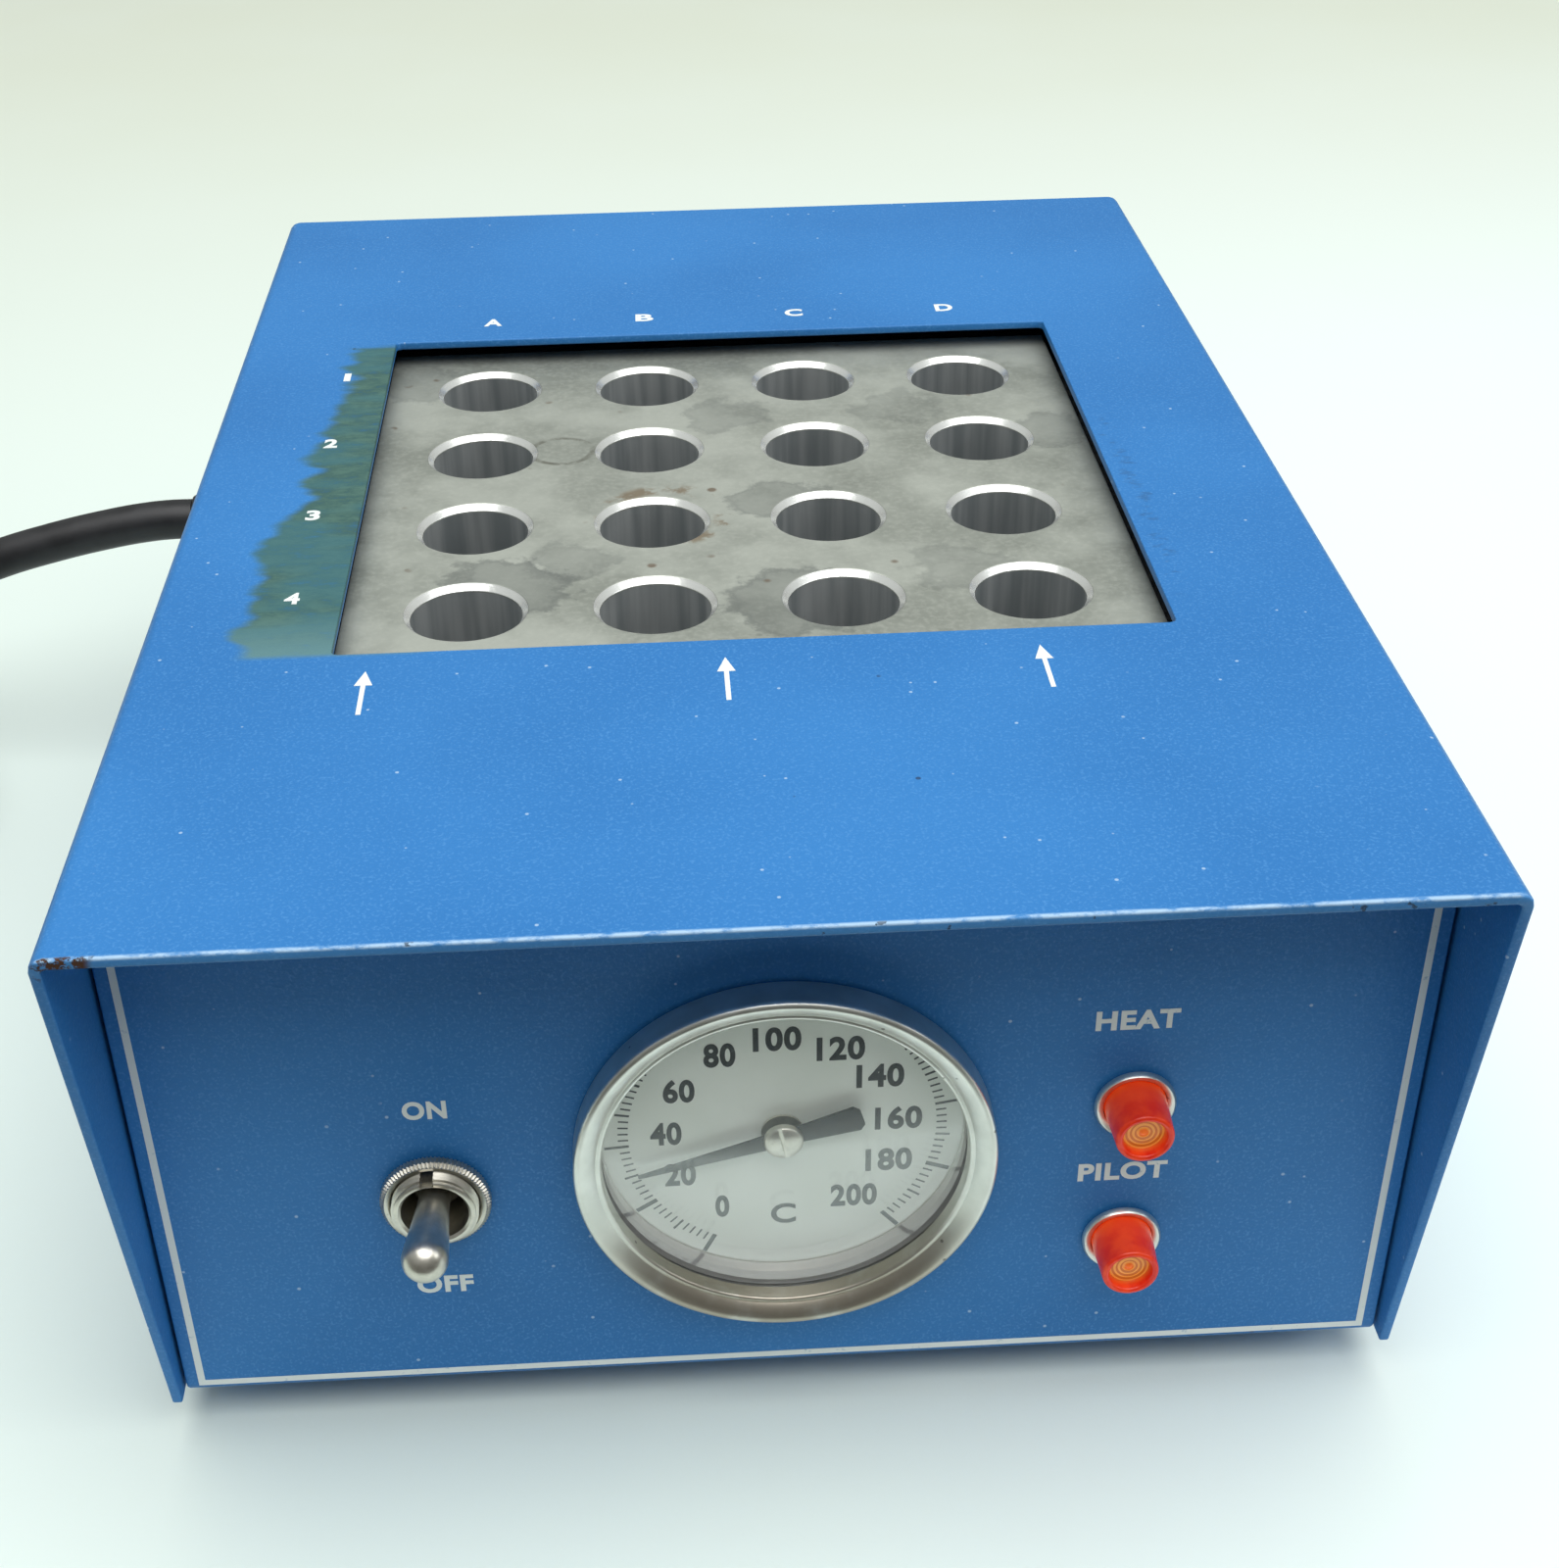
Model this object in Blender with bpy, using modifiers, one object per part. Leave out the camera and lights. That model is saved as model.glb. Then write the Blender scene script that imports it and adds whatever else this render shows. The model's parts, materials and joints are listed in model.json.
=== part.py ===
"""Dry block heater: a folded steel case around a sixteen-well aluminium block.

Frame: X to the right, +Y to the rear, +Z up, the feet stand on z = 0 and the
case is centred on the Z axis. Everything on the front panel is measured outwards
from the panel's face, and everything near the block downwards from the cover's top.
"""
import math

import bmesh
import bpy
from mathutils import Matrix, Vector

MM = 0.001
GAP = 0.3 * MM                      # left between pieces that touch on the bench

# ---- case ---------------------------------------------------------------
SHEET = 1.5 * MM
BEND = 2.2 * MM                     # outer radius of the cover's folds
COVER_WIDTH = 177.8 * MM
COVER_DEPTH = 263.0 * MM
CASE_HEIGHT = 91.3 * MM
FOOT_HEIGHT = 6.7 * MM
CHEEK_SLANT = 15.7 * MM             # how far the cover's front slants back at the bottom
FRONT_SETBACK = 17.3 * MM
REAR_SETBACK = 8.0 * MM
FLANGE_HEIGHT = 14.0 * MM
FLANGE_END = 13.0 * MM              # left free at each end of a side flange
WINDOW_WIDTH = 121.4 * MM
WINDOW_DEPTH = 120.0 * MM
WINDOW_SHIFT = -0.5 * MM
WINDOW_CORNER = 1.0 * MM

# ---- feet and screws ----------------------------------------------------
FOOT_RADIUS = 7.5 * MM
FOOT_INSET = 19.0 * MM              # foot centre to the case's side and end
FOOT_RECESS_RADIUS = 4.2 * MM
FOOT_RECESS = 3.4 * MM
SCREW_RADIUS = 1.7 * MM
SCREW_HEAD_RADIUS = 3.4 * MM
SCREW_HEAD = 2.2 * MM
SCREW_LENGTH = 9.0 * MM
COVER_SCREW_INSET = 55.0 * MM       # from each end of the cover

# ---- block --------------------------------------------------------------
BLOCK_DROP = 4.7 * MM               # block's top below the cover's top
BLOCK_HEIGHT = 60.0 * MM
BLOCK_SHIFT = 3.1 * MM              # block's centre behind the case's
BLOCK_EDGE = 0.6 * MM
WELLS_PER_SIDE = 4
WELL_PITCH = 28.7 * MM
WELL_RADIUS = 8.5 * MM
WELL_CHAMFER = 1.0 * MM
WELL_DEPTH = 50.0 * MM
BLOCK_BORDER = 18.7 * MM            # outer well's centre to the block's side
POST_INSET = 14.0 * MM
POST_RADIUS = 5.0 * MM
BOLT_RADIUS = 2.0 * MM
BOLT_HEAD_RADIUS = 4.0 * MM
BOLT_HEAD = 2.4 * MM
BOLT_BITE = 8.0 * MM                # thread inside the block
WRAP_THICK = 16.0 * MM
WRAP_DROP = 5.3 * MM                # insulation's top below the block's
HEATER_RADIUS = 4.0 * MM
HEATER_LENGTH = 110.0 * MM
HEATER_TAIL = 6.5 * MM              # heater standing out of the block
HEATER_DROP = 36.0 * MM             # heater axis below the cover's top
LEAD_HOLE_RADIUS = 5.0 * MM

# ---- thermostat ---------------------------------------------------------
THERMOSTAT_SIZE = (26.0 * MM, 13.5 * MM, 22.0 * MM)
THERMOSTAT_DROP = 36.0 * MM
SPINDLE_RADIUS = 3.0 * MM
SPINDLE_SEAT = 6.0 * MM             # spindle inside the thermostat
SPINDLE_END = 4.0 * MM              # spindle's end short of the rear panel
SPINDLE_SLOT = 1.0 * MM
ADJUST_HOLE_RADIUS = 4.2 * MM

# ---- dial thermometer ---------------------------------------------------
DIAL_DROP = 49.2 * MM               # its axis below the cover's top
DIAL_CASE_RADIUS = 27.5 * MM
DIAL_CASE_WALL = 0.8 * MM
DIAL_CASE_BACK = 10.0 * MM          # case behind the panel's face
DIAL_CASE_RIM = 3.4 * MM            # case in front of the panel's face
BEZEL_REACH = 5.3 * MM
BEZEL_WALL = 0.8 * MM
BEZEL_FACE = 3.8 * MM
CRYSTAL_THICK = 1.5 * MM
CRYSTAL_BACK = 0.0 * MM
DIAL_THICK = 0.6 * MM
DIAL_FACE = -3.4 * MM
POINTER_THICK = 0.4 * MM
POINTER_FACE = -1.5 * MM
POINTER_REACH = 20.9 * MM
POINTER_TAIL = 11.3 * MM
POINTER_TAIL_HALF = 2.1 * MM
POINTER_TIP_HALF = 0.3 * MM
POINTER_NECK_HALF = 1.3 * MM
SPINDLE_HEAD_RADIUS = 2.7 * MM
SHAFT_RADIUS = 0.7 * MM
STEM_RADIUS = 3.2 * MM
STEM_WALL = 0.6 * MM
STEM_BITE = 45.0 * MM               # stem inside the block
STEM_FLANGE_RADIUS = 7.0 * MM
COIL_RADIUS = 1.85 * MM
COIL_WIRE = 0.35 * MM
COIL_TURNS = 7
COIL_LENGTH = 30.0 * MM
SCALE_START = -152.7                # clock angle of the zero mark, degrees
SCALE_STEP = 1.4585                 # degrees of sweep to one degree of heat
RESTING_HEAT = 31.8

# ---- toggle switch ------------------------------------------------------
SWITCH_X = -47.6 * MM
SWITCH_DROP = 54.9 * MM
BUSHING_RADIUS = 5.95 * MM
BUSHING_BORE = 4.6 * MM
BUSHING_FRONT = 4.0 * MM
BUSHING_BACK = -7.9 * MM
KEYWAY_WIDTH = 1.8 * MM
KEYWAY_DEPTH = 0.9 * MM
SWITCH_NUT_RADIUS = 7.6 * MM
SWITCH_NUT_THICK = 2.1 * MM
SWITCH_BODY = (17.5 * MM, 20.0 * MM, 29.0 * MM)
SWITCH_POCKET_RADIUS = 5.2 * MM
SWITCH_POCKET = 6.5 * MM
TERMINAL_SIZE = (6.3 * MM, 8.0 * MM, 0.8 * MM)
TERMINAL_SPREAD = 9.0 * MM
LEVER_PIVOT = -3.7 * MM
LEVER_REACH = 21.0 * MM             # pivot to the middle of the bat's end
LEVER_BALL = 4.1 * MM
LEVER_TIP_RADIUS = 3.1 * MM
LEVER_TILT = 12.0                   # degrees up from level while it is on

# ---- indicator lamps ----------------------------------------------------
LAMP_X = 47.5 * MM
HEAT_LAMP_DROP = 44.05 * MM
PILOT_LAMP_DROP = 68.6 * MM
LENS_BASE_RADIUS = 4.3 * MM
LENS_FRONT_RADIUS = 3.95 * MM
LENS_REACH = 8.0 * MM
LAMP_BEZEL_RADIUS = 5.55 * MM
LAMP_BEZEL_THICK = 1.1 * MM
LAMP_BODY_RADIUS = 5.6 * MM
LAMP_BODY_LENGTH = 20.0 * MM

# ---- wiring -------------------------------------------------------------
STRIP_SIZE = (60.0 * MM, 16.0 * MM, 12.0 * MM)
STRIP_X = -35.0 * MM
STRIP_INSET = 17.0 * MM             # strip's centre in front of the rear panel
WIRE_RADIUS = 1.2 * MM
INNER_LEAD_RADIUS = 3.0 * MM
RELIEF_DROP = 50.5 * MM
RELIEF_INSET = 37.0 * MM            # relief's centre in front of the cover's rear edge
RELIEF_NECK_RADIUS = 6.2 * MM
RELIEF_FLANGE_RADIUS = 8.6 * MM
RELIEF_FLANGE = 2.7 * MM
RELIEF_REACH = 22.0 * MM
RELIEF_TAIL = 9.0 * MM

# ---- mains cord ---------------------------------------------------------
CORD_RADIUS = 4.15 * MM
COIL_CENTRE = (-212.0 * MM, 44.5 * MM)
COIL_MIDDLE_RADIUS = 43.5 * MM
COIL_COLUMNS = 2
COIL_LAYERS = 3
CORD_RUN = (
    (-0.1112, 0.0945, 0.0475),
    (-0.1160, 0.0945, 0.0475),
    (-0.1220, 0.0945, 0.0470),
    (-0.1300, 0.0943, 0.0458),
    (-0.1415, 0.0938, 0.0435),
    (-0.1540, 0.0932, 0.0402),
    (-0.1650, 0.0928, 0.0358),
    (-0.1735, 0.0925, 0.0312),
    (-0.1852, 0.0922, 0.0244),
)
CORD_TAIL = (
    (-0.2600, 0.0165, 0.0045),
    (-0.2597, 0.0060, 0.0045),
    (-0.2582, -0.0030, 0.0048),
    (-0.2560, -0.0120, 0.0062),
    (-0.2540, -0.0185, 0.0084),
    (-0.2528, -0.0240, 0.0106),
    (-0.2524, -0.0275, 0.0113),
    (-0.2524, -0.0305, 0.0113),
)
PLUG_BODY = (25.0 * MM, 32.0 * MM, 21.0 * MM)
PLUG_NECK_RADIUS = 6.5 * MM
PLUG_NECK = 10.0 * MM
BLADE_SIZE = (1.5 * MM, 17.0 * MM, 6.3 * MM)
BLADE_SPREAD = 12.7 * MM
GROUND_PIN_RADIUS = 2.4 * MM
GROUND_PIN_LENGTH = 20.5 * MM
GROUND_PIN_DROP = 6.0 * MM

# ---- worked out from the sizes above ------------------------------------
TOP_Z = FOOT_HEIGHT + CASE_HEIGHT
FRONT_Y = -COVER_DEPTH / 2
REAR_Y = COVER_DEPTH / 2
SIDE_X = COVER_WIDTH / 2
PANEL_Y = FRONT_Y + FRONT_SETBACK
REAR_PANEL_Y = REAR_Y - REAR_SETBACK
CORNER_GAP = GAP + 0.3 * (BEND - SHEET)     # lets the panels' square corners clear the cover's folds
CHASSIS_SIDE_X = SIDE_X - SHEET - CORNER_GAP
FLOOR_Z = FOOT_HEIGHT + SHEET
BLOCK_SIDE = (WELLS_PER_SIDE - 1) * WELL_PITCH + 2 * BLOCK_BORDER
BLOCK_TOP_Z = TOP_Z - BLOCK_DROP
BLOCK_BOTTOM_Z = BLOCK_TOP_Z - BLOCK_HEIGHT
BLOCK_FRONT_Y = BLOCK_SHIFT - BLOCK_SIDE / 2
BLOCK_REAR_Y = BLOCK_SHIFT + BLOCK_SIDE / 2
PAD_TOP_Z = BLOCK_BOTTOM_Z - GAP
PAD_BOTTOM_Z = FLOOR_Z + GAP
WRAP_TOP_Z = BLOCK_TOP_Z - WRAP_DROP
WRAP_SIDE = BLOCK_SIDE + 2 * GAP + 2 * WRAP_THICK
DIAL_Z = TOP_Z - DIAL_DROP
HEATER_Z = TOP_Z - HEATER_DROP
THERMOSTAT_Z = TOP_Z - THERMOSTAT_DROP
STRIP_Y = REAR_PANEL_Y - SHEET - STRIP_INSET
STRIP_TOP_Z = FLOOR_Z + GAP + STRIP_SIZE[2]
RELIEF_Y = REAR_Y - RELIEF_INSET
RELIEF_Z = TOP_Z - RELIEF_DROP
FOOT_PLACES = {
    f"{end}_{side}": (sx * (SIDE_X - FOOT_INSET), sy * (COVER_DEPTH / 2 - FOOT_INSET - FRONT_SETBACK))
    for end, sy in (("front", -1), ("rear", 1))
    for side, sx in (("left", -1), ("right", 1))
}
POST_PLACES = {
    name: (math.copysign(BLOCK_SIDE / 2 - POST_INSET, x),
           BLOCK_SHIFT + math.copysign(BLOCK_SIDE / 2 - POST_INSET, y))
    for name, (x, y) in FOOT_PLACES.items()
}
LAMP_HEIGHTS = {"heat": TOP_Z - HEAT_LAMP_DROP, "pilot": TOP_Z - PILOT_LAMP_DROP}

# Turns that lay a piece's own +Z along the direction it faces.
FACING_FRONT = (math.radians(90), 0.0, 0.0)
FACING_LEFT = (0.0, math.radians(-90), 0.0)
FACING_REAR = (math.radians(-90), 0.0, 0.0)
SIDE_TURN = {-1: (0.0, math.radians(-90), 0.0), 1: (0.0, math.radians(90), 0.0)}


# ---- helpers ------------------------------------------------------------
def clear_scene():
    for old in list(bpy.data.objects):
        bpy.data.objects.remove(old, do_unlink=True)


def new_collection(name):
    group = bpy.data.collections.new(name)
    bpy.context.scene.collection.children.link(group)
    return group


def finish_material(name, colour, roughness, metallic=0.0, alpha=1.0):
    material = bpy.data.materials.new(name)
    material.use_nodes = True
    shader = material.node_tree.nodes["Principled BSDF"]
    shader.inputs["Base Color"].default_value = (*colour, 1.0)
    shader.inputs["Roughness"].default_value = roughness
    shader.inputs["Metallic"].default_value = metallic
    shader.inputs["Alpha"].default_value = alpha
    return material


def add_object(name, data, material=None, location=(0, 0, 0), rotation=(0, 0, 0), group=None):
    obj = bpy.data.objects.new(name, data)
    (group or PARTS).objects.link(obj)
    obj.location = location
    obj.rotation_euler = rotation
    if material:
        data.materials.append(material)
    if group is CUTTERS:
        obj.hide_render = True
        obj.display_type = "WIRE"
    return obj


def mesh_from(bm, name):
    mesh = bpy.data.meshes.new(name)
    bm.to_mesh(mesh)
    bm.free()
    return mesh


def add_box(bm, size, centre=(0, 0, 0)):
    place = Matrix.Translation(centre) @ Matrix.Diagonal((*size, 1.0))
    bmesh.ops.create_cube(bm, size=1.0, matrix=place)


def add_rod(bm, radius, length, centre, direction, segments=20):
    turn = Vector((0, 0, 1)).rotation_difference(Vector(direction)).to_matrix().to_4x4()
    bmesh.ops.create_cone(bm, cap_ends=True, segments=segments, radius1=radius, radius2=radius,
                          depth=length, matrix=Matrix.Translation(centre) @ turn)


def round_edges(obj, width, segments=2):
    bevel = obj.modifiers.new("edges", "BEVEL")
    bevel.width = width
    bevel.segments = segments
    bevel.limit_method = "ANGLE"
    bevel.angle_limit = math.radians(40)


def box(name, size, centre, material, edge=0.0, group=None):
    bm = bmesh.new()
    add_box(bm, size)
    obj = add_object(name, mesh_from(bm, name), material, centre, group=group)
    if edge:
        round_edges(obj, edge)
    return obj


def turned(name, outline, material, location, rotation=(0, 0, 0), ring=False, steps=24, group=None):
    """Solid of revolution about its own Z; the outline runs down the outer side."""
    bm = bmesh.new()
    points = [bm.verts.new((radius, 0.0, height)) for radius, height in outline]
    for a, b in zip(points, points[1:]):
        bm.edges.new((a, b))
    if ring:
        bm.edges.new((points[-1], points[0]))
    obj = add_object(name, mesh_from(bm, name), material, location, rotation, group)
    screw = obj.modifiers.new("turn", "SCREW")
    screw.axis = "Z"
    screw.steps = steps
    screw.render_steps = steps
    screw.use_merge_vertices = True
    screw.merge_threshold = 0.00001
    screw.use_smooth_shade = True
    return obj


def tube(name, points, radius, material, sides=2):
    curve = bpy.data.curves.new(name, "CURVE")
    curve.dimensions = "3D"
    curve.bevel_depth = radius
    curve.bevel_resolution = sides
    curve.use_fill_caps = True
    line = curve.splines.new("POLY")
    line.points.add(len(points) - 1)
    for spot, point in zip(line.points, points):
        spot.co = (*point, 1.0)
    return add_object(name, curve, material)


def smooth_route(points, per_span):
    """Catmull-Rom points through a hand-chosen route."""
    ends = [Vector(point) for point in points]
    ends = [2 * ends[0] - ends[1]] + ends + [2 * ends[-1] - ends[-2]]
    route = []
    for a, b, c, d in zip(ends, ends[1:], ends[2:], ends[3:]):
        for step in range(per_span):
            t = step / per_span
            route.append(0.5 * (2 * b + (c - a) * t + (2 * a - 5 * b + 4 * c - d) * t ** 2
                                + (3 * b - a - 3 * c + d) * t ** 3))
    return route + [ends[-2]]


def boolean(host, tool, operation="DIFFERENCE"):
    cut = host.modifiers.new(operation.lower(), "BOOLEAN")
    cut.operation = operation
    cut.solver = "EXACT"
    cut.object = tool
    return cut


def drill(host, name, holes):
    """Cut straight round holes given as (radius, length, centre, direction, segments)."""
    bm = bmesh.new()
    for radius, length, centre, direction, segments in holes:
        add_rod(bm, radius, length, centre, direction, segments)
    tool = add_object(name, mesh_from(bm, name), group=CUTTERS)
    boolean(host, tool)


# ---- case ---------------------------------------------------------------
def build_cover(paint):
    """Top and two sides folded from one sheet, open at both ends, with the window."""
    low, high = FOOT_HEIGHT, TOP_Z
    bm = bmesh.new()
    corners = {}
    for side in (-1, 1):
        x = side * SIDE_X
        corners[side] = [
            bm.verts.new((x, FRONT_Y + CHEEK_SLANT, low)),
            bm.verts.new((x, FRONT_Y, high)),
            bm.verts.new((x, REAR_Y, high)),
            bm.verts.new((x, REAR_Y, low)),
        ]
    left, right = corners[-1], corners[1]
    bm.faces.new(left)
    bm.faces.new((right[1], right[0], right[3], right[2]))
    bm.faces.new((left[1], right[1], right[2], left[2]))
    cover = add_object("cover", mesh_from(bm, "cover"), paint)
    round_edges(cover, BEND, 3)
    shell = cover.modifiers.new("sheet", "SOLIDIFY")
    shell.thickness = SHEET
    shell.offset = -1.0
    shell.use_even_offset = True
    window = box("window_cutter", (WINDOW_WIDTH, WINDOW_DEPTH, 6 * SHEET),
                 (0, WINDOW_SHIFT, TOP_Z - SHEET / 2), None, group=CUTTERS)
    corner = window.modifiers.new("corners", "BEVEL")
    corner.width = WINDOW_CORNER
    corner.segments = 2
    boolean(cover, window)
    holes = [(SCREW_RADIUS + GAP, 6 * SHEET, (side * SIDE_X, y, cover_screw_z()), (1, 0, 0), 12)
             for side in (-1, 1) for y in cover_screw_ys()]
    holes.append((RELIEF_NECK_RADIUS + GAP, 6 * SHEET, (-SIDE_X, RELIEF_Y, RELIEF_Z), (1, 0, 0), 24))
    drill(cover, "cover_holes", holes)


def cover_screw_z():
    return FOOT_HEIGHT + (FLANGE_HEIGHT + SHEET) / 2


def cover_screw_ys():
    return FRONT_Y + COVER_SCREW_INSET, REAR_Y - COVER_SCREW_INSET


def build_chassis(paint):
    """Front panel, floor and rear panel from one sheet, with a flange up each side."""
    steps = 4
    low, high = FOOT_HEIGHT, TOP_Z - SHEET - CORNER_GAP
    path = [(PANEL_Y, high)]
    for step in range(steps + 1):
        angle = math.radians(90) * step / steps
        path.append((PANEL_Y + BEND * (1 - math.cos(angle)), low + BEND * (1 - math.sin(angle))))
    for step in range(steps + 1):
        angle = math.radians(90) * step / steps
        path.append((REAR_PANEL_Y - BEND * (1 - math.sin(angle)), low + BEND * (1 - math.cos(angle))))
    path.append((REAR_PANEL_Y, high))
    bm = bmesh.new()
    rows = [(bm.verts.new((-CHASSIS_SIDE_X, y, z)), bm.verts.new((CHASSIS_SIDE_X, y, z))) for y, z in path]
    for (a, b), (c, d) in zip(rows, rows[1:]):
        bm.faces.new((a, c, d, b))
    chassis = add_object("chassis", mesh_from(bm, "chassis"), paint)
    shell = chassis.modifiers.new("sheet", "SOLIDIFY")
    shell.thickness = SHEET
    shell.offset = -1.0
    shell.use_even_offset = True
    flange_front = PANEL_Y + FLANGE_END
    flange_rear = REAR_PANEL_Y - FLANGE_END
    overlap = SHEET / 2
    bm = bmesh.new()
    for side in (-1, 1):
        add_box(bm, (SHEET, flange_rear - flange_front, FLANGE_HEIGHT - overlap),
                (side * (CHASSIS_SIDE_X - SHEET / 2), (flange_front + flange_rear) / 2,
                 FOOT_HEIGHT + overlap + (FLANGE_HEIGHT - overlap) / 2))
    flanges = add_object("flanges", mesh_from(bm, "flanges"), group=CUTTERS)
    boolean(chassis, flanges, "UNION")
    through = 6 * SHEET
    front = (0, 1, 0)
    holes = [
        (DIAL_CASE_RADIUS + GAP, through, (0, PANEL_Y, DIAL_Z), front, 40),
        (BUSHING_RADIUS + GAP, through, (SWITCH_X, PANEL_Y, TOP_Z - SWITCH_DROP), front, 24),
        (ADJUST_HOLE_RADIUS, through, (0, REAR_PANEL_Y, THERMOSTAT_Z), front, 16),
    ]
    holes += [(LENS_BASE_RADIUS + GAP, through, (LAMP_X, PANEL_Y, z), front, 20)
              for z in LAMP_HEIGHTS.values()]
    holes += [(SCREW_RADIUS + GAP, through, (x, y, FOOT_HEIGHT), (0, 0, 1), 12)
              for x, y in FOOT_PLACES.values()]
    holes += [(BOLT_RADIUS + GAP, through, (x, y, FOOT_HEIGHT), (0, 0, 1), 12)
              for x, y in POST_PLACES.values()]
    holes += [(SCREW_RADIUS + GAP, through, (side * CHASSIS_SIDE_X, y, cover_screw_z()), (1, 0, 0), 12)
              for side in (-1, 1) for y in cover_screw_ys()]
    drill(chassis, "chassis_holes", holes)


def screw_outline(reach):
    """Pan head standing on z = GAP, shank reaching down to -reach."""
    top = GAP + SCREW_HEAD
    return [(0, top), (SCREW_HEAD_RADIUS * 0.7, top), (SCREW_HEAD_RADIUS, top - SCREW_HEAD * 0.45),
            (SCREW_HEAD_RADIUS, GAP), (SCREW_RADIUS, GAP), (SCREW_RADIUS, -reach), (0, -reach)]


def build_feet(rubber, steel):
    top = FOOT_HEIGHT - GAP
    bore = SCREW_RADIUS + GAP
    foot = [(FOOT_RADIUS - 0.8 * MM, top), (FOOT_RADIUS, top - 0.8 * MM), (FOOT_RADIUS - 0.6 * MM, 0),
            (FOOT_RECESS_RADIUS, 0), (FOOT_RECESS_RADIUS, FOOT_RECESS), (bore, FOOT_RECESS), (bore, top)]
    for place, (x, y) in FOOT_PLACES.items():
        turned(f"foot_{place}", foot, rubber, (x, y, 0), ring=True, steps=16)
        turned(f"foot_screw_{place}", screw_outline(SCREW_LENGTH), steel, (x, y, FOOT_RECESS),
               (math.radians(180), 0, 0), steps=12)


def build_cover_screws(steel):
    for side, label in ((-1, "left"), (1, "right")):
        for y, end in zip(cover_screw_ys(), ("front", "rear")):
            turned(f"cover_screw_{end}_{label}", screw_outline(SCREW_LENGTH), steel,
                   (side * SIDE_X, y, cover_screw_z()), SIDE_TURN[side], steps=12)


# ---- heated block -------------------------------------------------------
def stem_end_y():
    return BLOCK_FRONT_Y + STEM_BITE


def heater_places():
    """The two heaters lie in the webs between the outer and the inner well columns."""
    return {"left": -WELL_PITCH * (WELLS_PER_SIDE / 2 - 1), "right": WELL_PITCH * (WELLS_PER_SIDE / 2 - 1)}


def build_block(aluminium):
    block = box("heater_block", (BLOCK_SIDE, BLOCK_SIDE, BLOCK_HEIGHT),
                (0, BLOCK_SHIFT, BLOCK_TOP_Z - BLOCK_HEIGHT / 2), aluminium, BLOCK_EDGE)
    over = 2 * MM
    first = (WELLS_PER_SIDE - 1) * WELL_PITCH / 2
    well = turned("well_cutter",
                  [(0, over), (WELL_RADIUS + WELL_CHAMFER + over, over), (WELL_RADIUS, -WELL_CHAMFER),
                   (WELL_RADIUS, -WELL_DEPTH), (0, -WELL_DEPTH)],
                  None, (-first, BLOCK_SHIFT - first, BLOCK_TOP_Z), group=CUTTERS, steps=20)
    for axis in (0, 1):
        row = well.modifiers.new("row", "ARRAY")
        row.count = WELLS_PER_SIDE
        row.use_relative_offset = False
        row.use_constant_offset = True
        row.constant_offset_displace = [WELL_PITCH if axis == i else 0.0 for i in range(3)]
    boolean(block, well)
    stem_depth = STEM_BITE + 2 * GAP
    heater_depth = HEATER_LENGTH - HEATER_TAIL + GAP
    holes = [(STEM_RADIUS + GAP, 2 * stem_depth, (0, BLOCK_FRONT_Y, DIAL_Z), (0, 1, 0), 16)]
    holes += [(HEATER_RADIUS + GAP, 2 * heater_depth, (x, BLOCK_REAR_Y, HEATER_Z), (0, 1, 0), 16)
              for x in heater_places().values()]
    holes += [(BOLT_RADIUS + GAP, 2 * (BOLT_BITE + 2 * GAP), (x, y, BLOCK_BOTTOM_Z), (0, 0, 1), 12)
              for x, y in POST_PLACES.values()]
    drill(block, "block_holes", holes)


def build_insulation(fibre):
    """A square ring of glass fibre round the block and a pad under it."""
    height = WRAP_TOP_Z - PAD_BOTTOM_Z
    middle = (0, BLOCK_SHIFT, PAD_BOTTOM_Z + height / 2)
    wrap = box("insulation_wrap", (WRAP_SIDE, WRAP_SIDE, height), middle, fibre)
    inside = BLOCK_SIDE + 2 * GAP
    hollow = box("wrap_hollow", (inside, inside, 2 * height), middle, None, group=CUTTERS)
    boolean(wrap, hollow)
    notch = box("wrap_notch", (THERMOSTAT_SIZE[0] + 4 * GAP, 3 * WRAP_THICK, THERMOSTAT_SIZE[2] + 4 * GAP),
                (0, BLOCK_REAR_Y + WRAP_THICK, THERMOSTAT_Z), None, group=CUTTERS)
    boolean(wrap, notch)
    through = 1.5 * WRAP_THICK
    holes = [(STEM_RADIUS + GAP, through, (0, BLOCK_FRONT_Y - WRAP_THICK / 2, DIAL_Z), (0, 1, 0), 16)]
    holes += [(LEAD_HOLE_RADIUS, through, (x, BLOCK_REAR_Y + WRAP_THICK / 2, HEATER_Z), (0, 1, 0), 16)
              for x in heater_places().values()]
    drill(wrap, "wrap_holes", holes)
    thick = PAD_TOP_Z - PAD_BOTTOM_Z
    pad = box("insulation_pad", (BLOCK_SIDE, BLOCK_SIDE, thick),
              (0, BLOCK_SHIFT, PAD_BOTTOM_Z + thick / 2), fibre)
    drill(pad, "pad_holes", [(POST_RADIUS + GAP, 2 * thick, (x, y, PAD_BOTTOM_Z), (0, 0, 1), 16)
                             for x, y in POST_PLACES.values()])


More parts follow.
